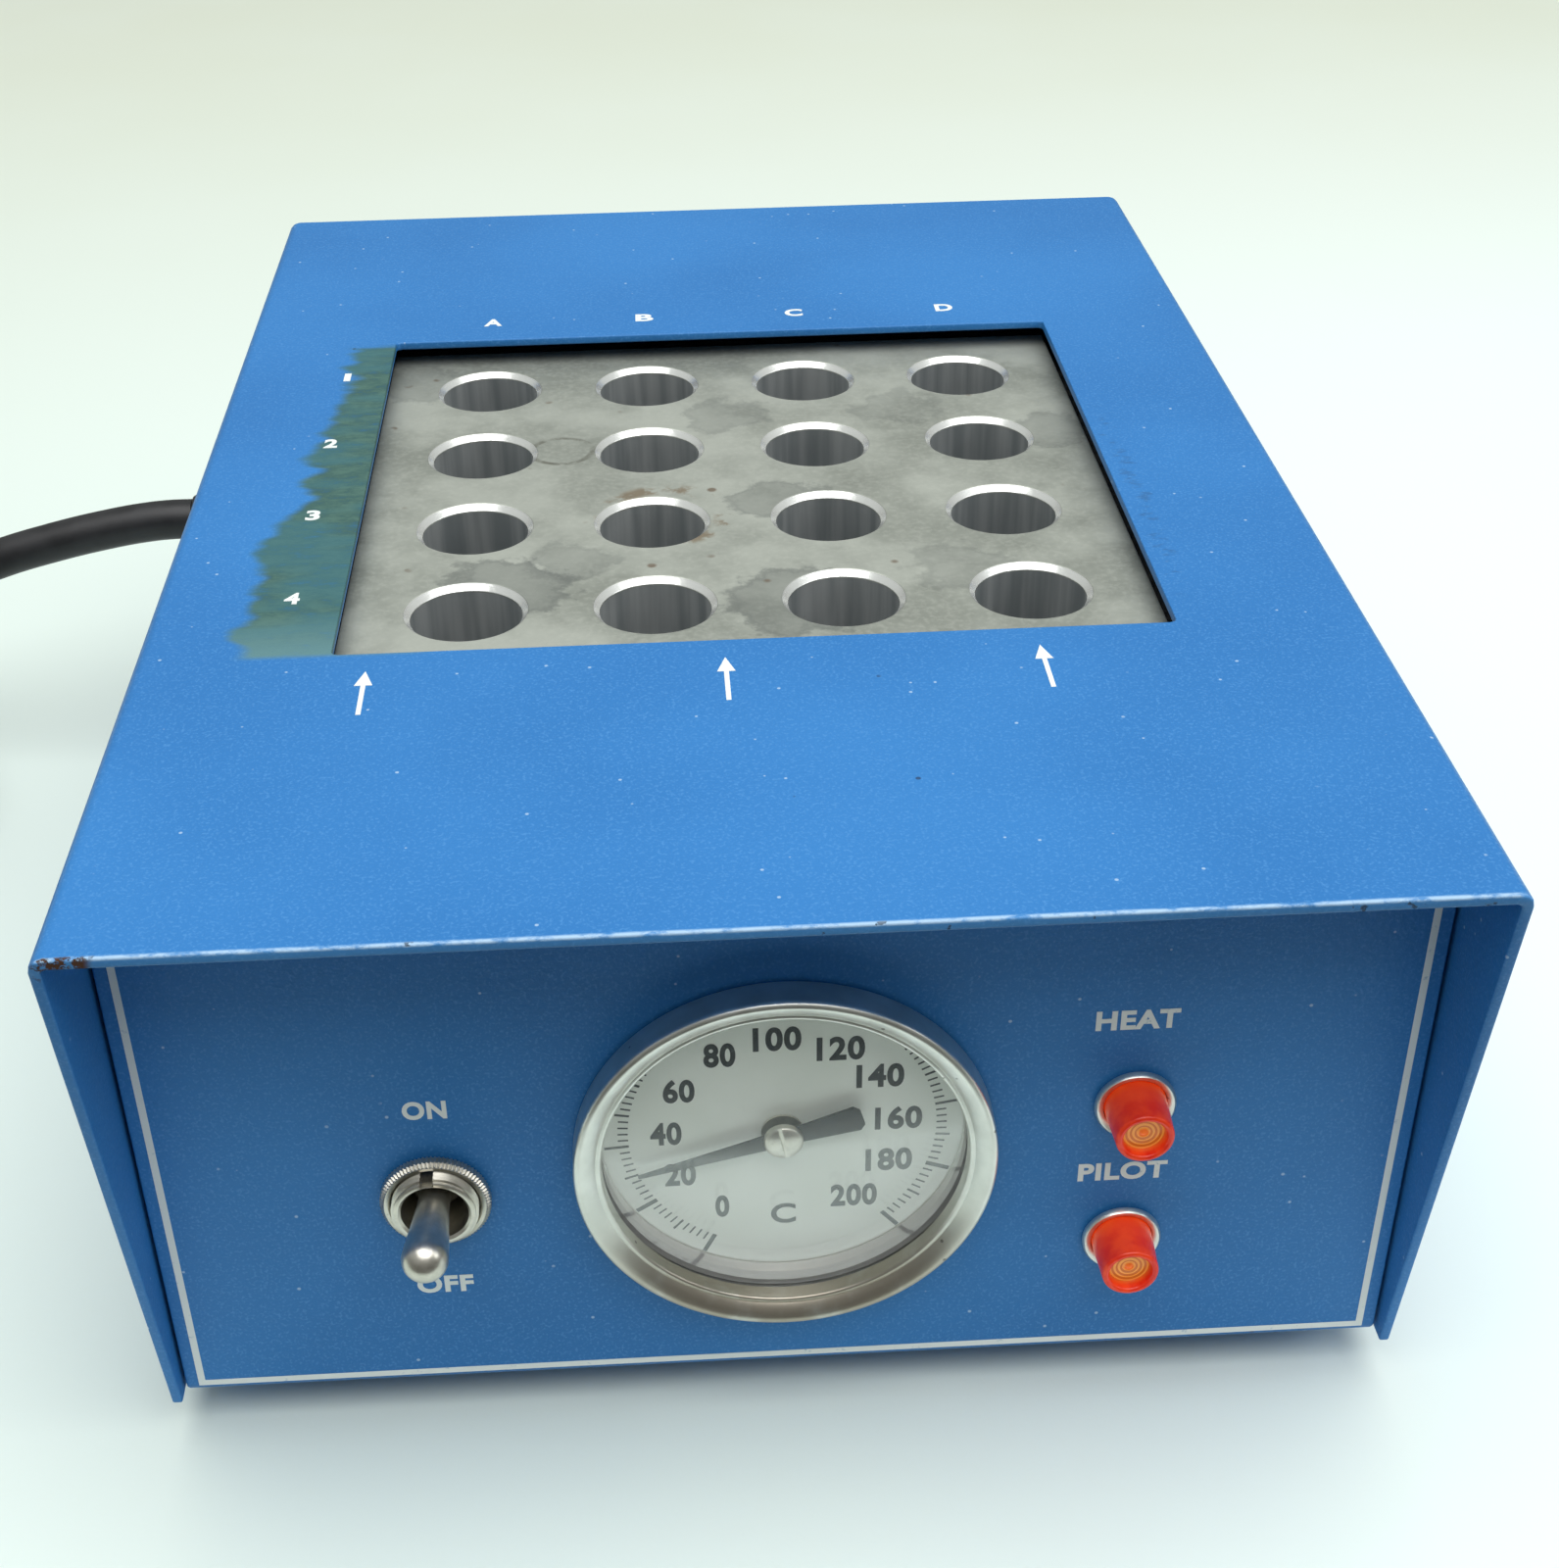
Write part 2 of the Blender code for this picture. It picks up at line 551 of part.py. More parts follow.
def build_posts(ceramic, steel):
    bore = BOLT_RADIUS + GAP
    low, high = FLOOR_Z + GAP, BLOCK_BOTTOM_Z - GAP
    tip = BLOCK_BOTTOM_Z + BOLT_BITE
    seat = FOOT_HEIGHT - GAP
    post = [(POST_RADIUS, high), (POST_RADIUS, low), (bore, low), (bore, high)]
    bolt = [(0, tip), (BOLT_RADIUS, tip), (BOLT_RADIUS, seat), (BOLT_HEAD_RADIUS, seat),
            (BOLT_HEAD_RADIUS, seat - BOLT_HEAD), (0, seat - BOLT_HEAD)]
    for place, (x, y) in POST_PLACES.items():
        turned(f"block_post_{place}", post, ceramic, (x, y, 0), ring=True, steps=12)
        turned(f"block_bolt_{place}", bolt, steel, (x, y, 0), steps=12)


def build_heaters(steel):
    for label, x in heater_places().items():
        bm = bmesh.new()
        add_rod(bm, HEATER_RADIUS, HEATER_LENGTH, (0, 0, 0), (0, 1, 0), 16)
        name = f"cartridge_heater_{label}"
        middle = BLOCK_REAR_Y + HEATER_TAIL - HEATER_LENGTH / 2
        heater = add_object(name, mesh_from(bm, name), steel, (x, middle, HEATER_Z))
        round_edges(heater, 0.5 * MM, 1)


def build_thermostat(phenolic, brass):
    """A block on the heater's rear face; its slotted spindle faces a hole in the rear panel."""
    front = BLOCK_REAR_Y + GAP
    back = front + THERMOSTAT_SIZE[1]
    body = box("thermostat_body", THERMOSTAT_SIZE, (0, (front + back) / 2, THERMOSTAT_Z), phenolic, 1.0 * MM)
    drill(body, "thermostat_bore", [
        (SPINDLE_RADIUS + GAP, 2 * (SPINDLE_SEAT + GAP), (0, back, THERMOSTAT_Z), (0, 1, 0), 16)])
    length = REAR_PANEL_Y - SHEET - SPINDLE_END - (back - SPINDLE_SEAT)
    spindle = turned("thermostat_spindle",
                     [(0, length), (SPINDLE_RADIUS - 0.4 * MM, length), (SPINDLE_RADIUS, length - 0.4 * MM),
                      (SPINDLE_RADIUS, 0), (0, 0)],
                     brass, (0, back - SPINDLE_SEAT, THERMOSTAT_Z), FACING_REAR, steps=16)
    slot = box("spindle_slot", (3 * SPINDLE_RADIUS, 2 * SPINDLE_SLOT, SPINDLE_SLOT),
               (0, back - SPINDLE_SEAT + length, THERMOSTAT_Z), None, group=CUTTERS)
    boolean(spindle, slot)


# ---- dial thermometer ---------------------------------------------------
def dial_place(outwards=0.0):
    return (0, PANEL_Y - outwards, DIAL_Z)


def build_thermometer(steel, glass, enamel):
    inner = DIAL_CASE_RADIUS - DIAL_CASE_WALL
    back = -DIAL_CASE_BACK
    ledge = DIAL_FACE - DIAL_THICK - GAP
    shaft_hole = SHAFT_RADIUS + 2 * GAP
    seat = inner - 1.4 * MM
    turned("thermometer_case",
           [(DIAL_CASE_RADIUS, DIAL_CASE_RIM), (DIAL_CASE_RADIUS, back + DIAL_CASE_WALL),
            (inner, back), (shaft_hole, back), (shaft_hole, back + DIAL_CASE_WALL),
            (seat, back + DIAL_CASE_WALL), (seat, ledge), (inner, ledge), (inner, DIAL_CASE_RIM)],
           steel, dial_place(), FACING_FRONT, ring=True, steps=36)
    skirt = DIAL_CASE_RADIUS + GAP
    rim = skirt + BEZEL_WALL
    opening = rim - BEZEL_FACE
    crystal_front = CRYSTAL_BACK + CRYSTAL_THICK
    lip_end = crystal_front + GAP
    turned("thermometer_bezel",
           [(rim - 0.7 * MM, BEZEL_REACH), (rim, BEZEL_REACH - 0.6 * MM), (rim, 2 * GAP), (skirt, 2 * GAP),
            (skirt, BEZEL_REACH - 1.3 * MM), (opening + BEZEL_WALL, BEZEL_REACH - 1.7 * MM),
            (opening + BEZEL_WALL, lip_end), (opening, lip_end), (opening, BEZEL_REACH - 0.8 * MM)],
           steel, dial_place(), FACING_FRONT, ring=True, steps=36)
    disc = inner - GAP
    turned("thermometer_crystal",
           [(0, crystal_front), (disc, crystal_front), (disc, CRYSTAL_BACK), (0, CRYSTAL_BACK)],
           glass, dial_place(), FACING_FRONT, steps=36)
    turned("dial_plate",
           [(disc, DIAL_FACE), (disc, DIAL_FACE - DIAL_THICK), (shaft_hole, DIAL_FACE - DIAL_THICK),
            (shaft_hole, DIAL_FACE)],
           enamel, dial_place(), FACING_FRONT, ring=True, steps=36)


def build_stem(steel, bimetal):
    """Stem tube screwed behind the case, with the bimetal helix near its closed end."""
    start = DIAL_CASE_BACK + GAP
    end = stem_end_y() - PANEL_Y
    bore = STEM_RADIUS - STEM_WALL
    turned("thermometer_stem",
           [(STEM_FLANGE_RADIUS, -start), (STEM_FLANGE_RADIUS, -start - 3 * MM),
            (STEM_RADIUS, -start - 5 * MM),
            (STEM_RADIUS, -end + 0.8 * MM), (STEM_RADIUS - 0.8 * MM, -end), (0, -end),
            (0, -end + STEM_WALL), (bore, -end + STEM_WALL), (bore, -start)],
           steel, dial_place(), FACING_FRONT, ring=True, steps=16)
    points = []
    per_turn = 8
    far = end - STEM_WALL - 3 * MM
    for step in range(COIL_TURNS * per_turn + 1):
        angle = 2 * math.pi * step / per_turn
        along = far - COIL_LENGTH * step / (COIL_TURNS * per_turn)
        across, up = COIL_RADIUS * math.cos(angle), COIL_RADIUS * math.sin(angle)
        points.append((across, PANEL_Y + along, DIAL_Z + up))
    tube("bimetal_coil", points, COIL_WIRE, bimetal, 1)


def build_pointer(slate, nickel):
    """The pointer and its spindle turn together about the dial's axis."""
    turn = SCALE_START + SCALE_STEP * RESTING_HEAT
    axis = bpy.data.objects.new("pointer_axis", None)
    PARTS.objects.link(axis)
    axis.location = dial_place()
    axis.rotation_euler = (0, math.radians(turn), 0)
    half = POINTER_THICK / 2
    boss = 2.1 * MM
    outline = [(-POINTER_TIP_HALF, POINTER_REACH), (POINTER_TIP_HALF, POINTER_REACH),
               (POINTER_NECK_HALF, boss), (boss, 0), (POINTER_NECK_HALF, -boss)]
    spread = math.asin(POINTER_TAIL_HALF / POINTER_TAIL)
    for step in (1, 0.33, -0.33, -1):
        outline.append((POINTER_TAIL * math.sin(spread * step), -POINTER_TAIL * math.cos(spread * step)))
    outline += [(-POINTER_NECK_HALF, -boss), (-boss, 0), (-POINTER_NECK_HALF, boss)]
    curve = bpy.data.curves.new("pointer", "CURVE")
    curve.dimensions = "2D"
    curve.fill_mode = "BOTH"
    curve.extrude = half
    add_loop(curve, outline)
    bore = SHAFT_RADIUS + 2 * GAP
    add_loop(curve, [(bore * math.cos(2 * math.pi * i / 12), bore * math.sin(2 * math.pi * i / 12))
                     for i in range(12)])
    blade = add_object("pointer", curve, slate, (0, -(POINTER_FACE - half), 0), FACING_FRONT)
    blade.parent = axis
    under = POINTER_FACE - POINTER_THICK
    end = -(stem_end_y() - PANEL_Y) + STEM_WALL + 1 * MM
    head_top = CRYSTAL_BACK - 1.3 * GAP
    head_low = POINTER_FACE + GAP
    collar_low = DIAL_FACE + GAP
    spindle = turned("pointer_spindle",
                     [(0, head_top), (SPINDLE_HEAD_RADIUS * 0.6, head_top - 0.1 * MM),
                      (SPINDLE_HEAD_RADIUS, head_low + 0.2 * MM), (SPINDLE_HEAD_RADIUS, head_low),
                      (SHAFT_RADIUS + GAP, head_low), (SHAFT_RADIUS + GAP, under - GAP),
                      (1.8 * MM, under - GAP), (1.8 * MM, collar_low), (SHAFT_RADIUS, collar_low),
                      (SHAFT_RADIUS, end), (0, end)],
                     nickel, (0, 0, 0), FACING_FRONT, steps=12)
    spindle.parent = axis


def add_loop(curve, outline):
    line = curve.splines.new("POLY")
    line.points.add(len(outline) - 1)
    for spot, (x, y) in zip(line.points, outline):
        spot.co = (x, y, 0.0, 1.0)
    line.use_cyclic_u = True


# ---- toggle switch ------------------------------------------------------
def switch_place(outwards=0.0):
    return Vector((SWITCH_X, PANEL_Y - outwards, TOP_Z - SWITCH_DROP))


def build_switch(nickel, phenolic):
    centre = switch_place()
    bushing = turned("switch_bushing",
                     [(BUSHING_RADIUS - 0.5 * MM, BUSHING_FRONT), (BUSHING_RADIUS, BUSHING_FRONT - 0.5 * MM),
                      (BUSHING_RADIUS, BUSHING_BACK), (BUSHING_BORE, BUSHING_BACK),
                      (BUSHING_BORE, BUSHING_FRONT - 0.3 * MM), (BUSHING_BORE + 0.3 * MM, BUSHING_FRONT)],
                     nickel, centre, FACING_FRONT, ring=True, steps=24)
    key_length = BUSHING_FRONT - BUSHING_BACK + 2 * MM
    key_middle = centre + Vector((0, -(BUSHING_FRONT + BUSHING_BACK) / 2, BUSHING_RADIUS))
    keyway = box("keyway_cutter", (KEYWAY_WIDTH, key_length, 2 * KEYWAY_DEPTH), key_middle,
                 None, group=CUTTERS)
    boolean(bushing, keyway)
    bore = BUSHING_RADIUS + GAP
    front = GAP + SWITCH_NUT_THICK
    turned("switch_nut",
           [(SWITCH_NUT_RADIUS - 0.5 * MM, front), (SWITCH_NUT_RADIUS, front - 0.5 * MM),
            (SWITCH_NUT_RADIUS, GAP), (bore, GAP), (bore, front)],
           nickel, centre, FACING_FRONT, ring=True, steps=24)
    body_front = BUSHING_BACK - GAP
    body_middle = body_front - SWITCH_BODY[1] / 2
    body = box("switch_body", SWITCH_BODY, switch_place(body_middle), phenolic)
    round_edges(body, 0.8 * MM, 1)
    bm = bmesh.new()
    for side in (-1, 1):
        add_box(bm, (TERMINAL_SIZE[0], 2 * TERMINAL_SIZE[1], TERMINAL_SIZE[2]),
                switch_place(body_front - SWITCH_BODY[1]) + Vector((0, 0, side * TERMINAL_SPREAD)))
    terminals = add_object("terminal_cutter", mesh_from(bm, "terminal_cutter"), group=CUTTERS)
    boolean(body, terminals, "UNION")
    drill(body, "switch_pocket", [
        (SWITCH_POCKET_RADIUS, 2 * SWITCH_POCKET, switch_place(body_front), (0, 1, 0), 20)])


def build_lever(nickel):
    """Bat lever on a ball; its origin is the pivot, its own +Z runs out along the bat."""
    tip = LEVER_REACH + LEVER_TIP_RADIUS
    outline = [(0, tip)]
    for angle in (60, 30, 0):
        turn = math.radians(angle)
        outline.append((LEVER_TIP_RADIUS * math.cos(turn), LEVER_REACH + LEVER_TIP_RADIUS * math.sin(turn)))
    outline += [(2.45 * MM, 8 * MM), (2.3 * MM, 4.6 * MM)]
    for angle in (40, 15, -15, -45):
        turn = math.radians(angle)
        outline.append((LEVER_BALL * math.cos(turn), LEVER_BALL * math.sin(turn)))
    outline += [(1.5 * MM, -3.8 * MM), (1.5 * MM, -7.3 * MM), (0, -7.3 * MM)]
    turned("switch_lever", outline, nickel, switch_place(LEVER_PIVOT),
           (math.radians(90 - LEVER_TILT), 0, 0), steps=20)


# ---- indicator lamps ----------------------------------------------------
def build_lamps(amber, chrome, phenolic):
    root = -SHEET - GAP
    for label, z in LAMP_HEIGHTS.items():
        place = (LAMP_X, PANEL_Y, z)
        turned(f"{label}_lamp_lens",
               [(0, LENS_REACH), (LENS_FRONT_RADIUS - 0.6 * MM, LENS_REACH),
                (LENS_FRONT_RADIUS, LENS_REACH - 0.6 * MM), (LENS_BASE_RADIUS, 1.5 * MM),
                (LENS_BASE_RADIUS, root), (0, root)],
               amber, place, FACING_FRONT, steps=20)
        bore = LENS_BASE_RADIUS + GAP
        front = GAP + LAMP_BEZEL_THICK
        turned(f"{label}_lamp_bezel",
               [(bore, front), (LAMP_BEZEL_RADIUS - 0.5 * MM, front), (LAMP_BEZEL_RADIUS, front - 0.5 * MM),
                (LAMP_BEZEL_RADIUS, GAP), (bore, GAP)],
               chrome, place, FACING_FRONT, ring=True, steps=20)
        top = root - GAP
        turned(f"{label}_lamp_body",
               [(0, top), (LAMP_BODY_RADIUS, top), (LAMP_BODY_RADIUS, top - 0.6 * LAMP_BODY_LENGTH),
                (0.7 * LAMP_BODY_RADIUS, top - LAMP_BODY_LENGTH), (0, top - LAMP_BODY_LENGTH)],
               phenolic, place, FACING_FRONT, steps=16)


# ---- wiring -------------------------------------------------------------
def build_terminal_strip(phenolic):
    strip_z = FLOOR_Z + GAP + STRIP_SIZE[2] / 2
    strip = box("terminal_strip", STRIP_SIZE, (STRIP_X, STRIP_Y, strip_z), phenolic)
    bm = bmesh.new()
    for step in range(5):
        add_box(bm, (1.6 * MM, STRIP_SIZE[1] * 1.2, 5 * MM),
                (STRIP_X + (step - 2) * STRIP_SIZE[0] / 6, STRIP_Y, STRIP_TOP_Z))
    boolean(strip, add_object("strip_grooves", mesh_from(bm, "strip_grooves"), group=CUTTERS))


def strip_top(fraction):
    """A wire's end on the strip; fraction runs from -0.5 at its left end to 0.5."""
    return Vector((STRIP_X + fraction * STRIP_SIZE[0], STRIP_Y, STRIP_TOP_Z + GAP))


def build_wires(jacket, insulation):
    start = Vector((-SIDE_X + RELIEF_TAIL + GAP, RELIEF_Y, RELIEF_Z))
    end = strip_top(-0.42)
    tube("mains_lead", smooth_route([
        start, start + Vector((8 * MM, 0, -1 * MM)),
        Vector((end.x - 6 * MM, (start.y + end.y) / 2, (start.z + end.z) / 2)),
        end + Vector((0, 0, 10 * MM)), end + Vector((0, 0, 4 * MM)), end], 4), INNER_LEAD_RADIUS, jacket)
    side = (SIDE_X - SHEET - WRAP_SIDE / 2) / 2 + WRAP_SIDE / 2
    low = FOOT_HEIGHT + FLANGE_HEIGHT + 4 * MM
    wrap_front, wrap_rear = BLOCK_SHIFT - WRAP_SIDE / 2, BLOCK_SHIFT + WRAP_SIDE / 2
    start = switch_place(BUSHING_BACK - GAP - SWITCH_BODY[1] - TERMINAL_SIZE[1] / 2)
    start.z -= TERMINAL_SPREAD + TERMINAL_SIZE[2] / 2 + GAP
    end = strip_top(-0.25)
    tube("switch_wire", smooth_route([
        start, start + Vector((0, 0, -5 * MM)), Vector((start.x - 6 * MM, start.y, low)),
        Vector((-side + 9 * MM, start.y, low)), Vector((-side, wrap_front + 2 * MM, low)),
        Vector((-side, wrap_front + 35 * MM, low)), Vector((-side, wrap_rear - 25 * MM, low)),
        Vector((-side, wrap_rear - 2 * MM, low)), Vector((-side + 9 * MM, wrap_rear + 8 * MM, low)),
        end + Vector((0, -1 * MM, 8 * MM)), end + Vector((0, 0, 3 * MM)), end], 3), WIRE_RADIUS, insulation)
    wall = BLOCK_REAR_Y + WRAP_THICK + 2 * MM
    for (label, x), fraction in zip(heater_places().items(), (-0.08, 0.42)):
        start = Vector((x, BLOCK_REAR_Y + HEATER_TAIL + GAP, HEATER_Z))
        end = strip_top(fraction)
        middle = Vector((x + 0.3 * (end.x - x), wall + 0.45 * (end.y - wall), HEATER_Z - 14 * MM))
        tube(f"heater_wire_{label}", smooth_route([
            start, Vector((x, wall, HEATER_Z)), middle,
            end + Vector((0, 0, 12 * MM)), end + Vector((0, 0, 4 * MM)), end], 4),
            WIRE_RADIUS, insulation)


# ---- mains cord ---------------------------------------------------------
def build_relief(rubber):
    """Snap-in strain relief: a groove holds the cover's side, a taper guides the cord."""
    groove = -SHEET - GAP
    turned("strain_relief",
           [(0, RELIEF_REACH), (CORD_RADIUS + 0.9 * MM, RELIEF_REACH),
            (RELIEF_NECK_RADIUS + 0.4 * MM, GAP + RELIEF_FLANGE),
            (RELIEF_FLANGE_RADIUS, GAP + RELIEF_FLANGE),
            (RELIEF_FLANGE_RADIUS, GAP), (RELIEF_NECK_RADIUS, GAP), (RELIEF_NECK_RADIUS, groove),
            (RELIEF_FLANGE_RADIUS - 0.8 * MM, groove),
            (RELIEF_FLANGE_RADIUS - 1.2 * MM, -RELIEF_TAIL + 2 * MM), (CORD_RADIUS + 0.4 * MM, -RELIEF_TAIL),
            (0, -RELIEF_TAIL)],
           rubber, (-SIDE_X, RELIEF_Y, RELIEF_Z), FACING_LEFT, steps=20)


def build_cord(jacket):
    tube("cord_run", smooth_route(CORD_RUN, 1), CORD_RADIUS, jacket)
    half = (COIL_COLUMNS - 1) * CORD_RADIUS + CORD_RADIUS
    inner, outer = COIL_MIDDLE_RADIUS - half, COIL_MIDDLE_RADIUS + half
    high = 2 * COIL_LAYERS * CORD_RADIUS
    edge = 2.0 * MM
    turned("cord_coil",
           [(inner + edge, high), (outer - edge, high), (outer, high - edge), (outer, edge),
            (outer - edge, 0), (inner + edge, 0), (inner, edge), (inner, high - edge)],
           jacket, (*COIL_CENTRE, 0), ring=True, steps=32)
    tube("cord_tail", smooth_route(CORD_TAIL, 1), CORD_RADIUS, jacket)


def build_plug(moulding, brass):
    """Three-pin plug lying beside the coil, its blades pointing to the front."""
    x, y, z = CORD_TAIL[-1]
    y -= GAP
    neck_front = y - PLUG_NECK
    body = box("plug_body", PLUG_BODY, (x, neck_front - PLUG_BODY[1] / 2, z), moulding)
    round_edges(body, 3.0 * MM, 2)
    neck = turned("plug_neck",
                  [(0, 0), (CORD_RADIUS + 0.8 * MM, 0), (PLUG_NECK_RADIUS, -PLUG_NECK),
                   (PLUG_NECK_RADIUS, -PLUG_NECK - 6 * MM), (0, -PLUG_NECK - 6 * MM)],
                  None, (x, y, z), FACING_REAR, group=CUTTERS, steps=20)
    boolean(body, neck, "UNION")
    face = neck_front - PLUG_BODY[1] - GAP
    for side, label in ((-1, "left"), (1, "right")):
        box(f"plug_blade_{label}", BLADE_SIZE,
            (x + side * BLADE_SPREAD / 2, face - BLADE_SIZE[1] / 2, z + GROUND_PIN_DROP / 2), brass)
    bm = bmesh.new()
    add_rod(bm, GROUND_PIN_RADIUS, GROUND_PIN_LENGTH, (0, 0, 0), (0, 1, 0), 12)
    add_object("plug_ground_pin", mesh_from(bm, "plug_ground_pin"), brass,
               (x, face - GROUND_PIN_LENGTH / 2, z - GROUND_PIN_DROP))


# ---- the whole heater ---------------------------------------------------
clear_scene()
PARTS = new_collection("dry_block_heater")
CUTTERS = new_collection("cutters")


def build():
    blue = finish_material("blue_paint", (0.07, 0.25, 0.60), 0.42)
    rubber = finish_material("black_rubber", (0.02, 0.02, 0.02), 0.6)
    steel = finish_material("zinc_steel", (0.62, 0.60, 0.56), 0.35, 1.0)
    stainless = finish_material("stainless", (0.66, 0.64, 0.60), 0.28, 1.0)
    aluminium = finish_material("aluminium", (0.62, 0.61, 0.58), 0.38, 1.0)
    fibre = finish_material("glass_fibre", (0.05, 0.05, 0.05), 0.95)
    ceramic = finish_material("ceramic", (0.80, 0.78, 0.72), 0.5)
    phenolic = finish_material("phenolic", (0.03, 0.03, 0.035), 0.45)
    brass = finish_material("brass", (0.72, 0.55, 0.28), 0.3, 1.0)
    bimetal = finish_material("bimetal", (0.70, 0.62, 0.48), 0.35, 1.0)
    glass = finish_material("glass", (0.95, 0.97, 0.96), 0.03, alpha=0.25)
    enamel = finish_material("dial_enamel", (0.85, 0.86, 0.84), 0.5)
    slate = finish_material("slate_paint", (0.07, 0.09, 0.11), 0.4)
    nickel = finish_material("nickel", (0.66, 0.62, 0.52), 0.25, 1.0)
    amber = finish_material("red_lens", (0.85, 0.10, 0.02), 0.15)
    jacket = finish_material("cord_jacket", (0.02, 0.02, 0.022), 0.5)
    wire = finish_material("wire_sleeve", (0.75, 0.74, 0.70), 0.6)
    build_cover(blue)
    build_chassis(blue)
    build_feet(rubber, steel)
    build_cover_screws(steel)
    build_block(aluminium)
    build_insulation(fibre)
    build_posts(ceramic, steel)
    build_heaters(stainless)
    build_thermostat(phenolic, brass)
    build_thermometer(stainless, glass, enamel)
    build_stem(stainless, bimetal)
    build_pointer(slate, nickel)
    build_switch(nickel, phenolic)
    build_lever(nickel)
    build_lamps(amber, stainless, phenolic)
    build_terminal_strip(phenolic)
    build_wires(jacket, wire)
    build_relief(rubber)
    build_cord(jacket)
    build_plug(jacket, brass)


build()
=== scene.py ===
# %% [markdown]
# # A bench dry block heater, cell by cell
# The heater warms rows of test tubes in a drilled aluminium block. Its pan, cover, block and
# joints come from an engineering model, which is loaded here as a fixed frame in metres:
# X to the right, Y to the back and Z up. Each later cell adds one real piece or one real finish.

# %% Load the frame
import json
import math

import bmesh
import bpy
from mathutils import Matrix, Vector


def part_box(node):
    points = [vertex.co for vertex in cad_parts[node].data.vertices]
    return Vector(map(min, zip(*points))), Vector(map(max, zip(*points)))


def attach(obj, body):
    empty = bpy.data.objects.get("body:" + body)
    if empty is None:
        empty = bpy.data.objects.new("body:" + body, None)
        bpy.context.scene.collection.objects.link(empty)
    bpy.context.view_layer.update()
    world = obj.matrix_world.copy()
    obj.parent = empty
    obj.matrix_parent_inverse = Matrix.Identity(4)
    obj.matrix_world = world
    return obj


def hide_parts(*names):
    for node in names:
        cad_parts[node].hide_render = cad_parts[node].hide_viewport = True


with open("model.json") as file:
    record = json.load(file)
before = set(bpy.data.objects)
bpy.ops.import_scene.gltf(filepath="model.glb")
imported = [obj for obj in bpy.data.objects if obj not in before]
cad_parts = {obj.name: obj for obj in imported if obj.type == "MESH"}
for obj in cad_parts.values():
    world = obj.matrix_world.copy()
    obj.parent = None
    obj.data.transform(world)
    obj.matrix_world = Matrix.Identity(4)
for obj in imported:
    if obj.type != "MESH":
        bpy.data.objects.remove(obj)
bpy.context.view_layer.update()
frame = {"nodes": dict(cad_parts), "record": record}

MM = 0.001

# %% [markdown]
# The places that later cells need are read from the frame's own boxes, so that a finer piece
# always lands where the plain one was. Only shapes that a box can't tell, such as the radius
# of a rounded lip, are written down in the cell of the piece that has them.

# %% Read the driving places
cover_low, cover_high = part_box("cover")
block_low, block_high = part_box("heater_block")
bezel_low, bezel_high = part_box("thermometer_bezel")
PANEL_Y = bezel_high[1] + 0.6 * MM                # outer face of the front panel
DIAL_X = (bezel_low[0] + bezel_high[0]) / 2
DIAL_Z = (bezel_low[2] + bezel_high[2]) / 2
BEZEL_RADIUS = (bezel_high[0] - bezel_low[0]) / 2
BEZEL_REACH = PANEL_Y - bezel_low[1]
nut_low, nut_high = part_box("switch_nut")
SWITCH_X = (nut_low[0] + nut_high[0]) / 2
SWITCH_Z = (nut_low[2] + nut_high[2]) / 2
print("panel face", round(PANEL_Y, 4), "dial", round(DIAL_X, 4), round(DIAL_Z, 4))

# %% [markdown]
# The camera stands where a person leans over the bench to read the dial. A slightly long lens
# keeps the sides of the cover nearly straight. Its aim is a heading, a tilt and a small roll,
# turned into a rotation by building the camera's three axes from them.

# %% Camera
def aim(heading, tilt, roll):
    """The camera's rotation from three angles in degrees."""
    heading, tilt, roll = (math.radians(angle) for angle in (heading, tilt, roll))
    ahead = Vector((math.sin(heading) * math.cos(tilt), math.cos(heading) * math.cos(tilt),
                    -math.sin(tilt)))
    right = Vector((math.cos(heading), -math.sin(heading), 0))
    up = right.cross(ahead)
    axes = (right * math.cos(roll) + up * math.sin(roll),
            up * math.cos(roll) - right * math.sin(roll), -ahead)
    return Matrix(axes).transposed().to_4x4()


EYE_PLACE = (-0.0136, -0.3422, 0.2511)
EYE_HEADING, EYE_TILT, EYE_ROLL = 2.631, 34.305, -0.996   # degrees
lens = bpy.data.cameras.new("bench_camera")
lens.lens = 51.17
lens.sensor_width = 36.0
lens.shift_x = 0.0148
lens.shift_y = 0.0512
lens.clip_start = 0.01
camera = bpy.data.objects.new("bench_camera", lens)
camera.matrix_world = Matrix.Translation(EYE_PLACE) @ aim(EYE_HEADING, EYE_TILT, EYE_ROLL)
bpy.context.scene.collection.objects.link(camera)
bpy.context.scene.camera = camera
print("camera at", [round(value, 3) for value in camera.location])

# %% [markdown]
# Shader nodes are easier to read as sums. This small class wraps a socket: a sum or a product
# of wires adds the Math nodes behind it, colours and vectors have their own methods, and every
# other node comes from one method, which sets the node's settings before its sockets.

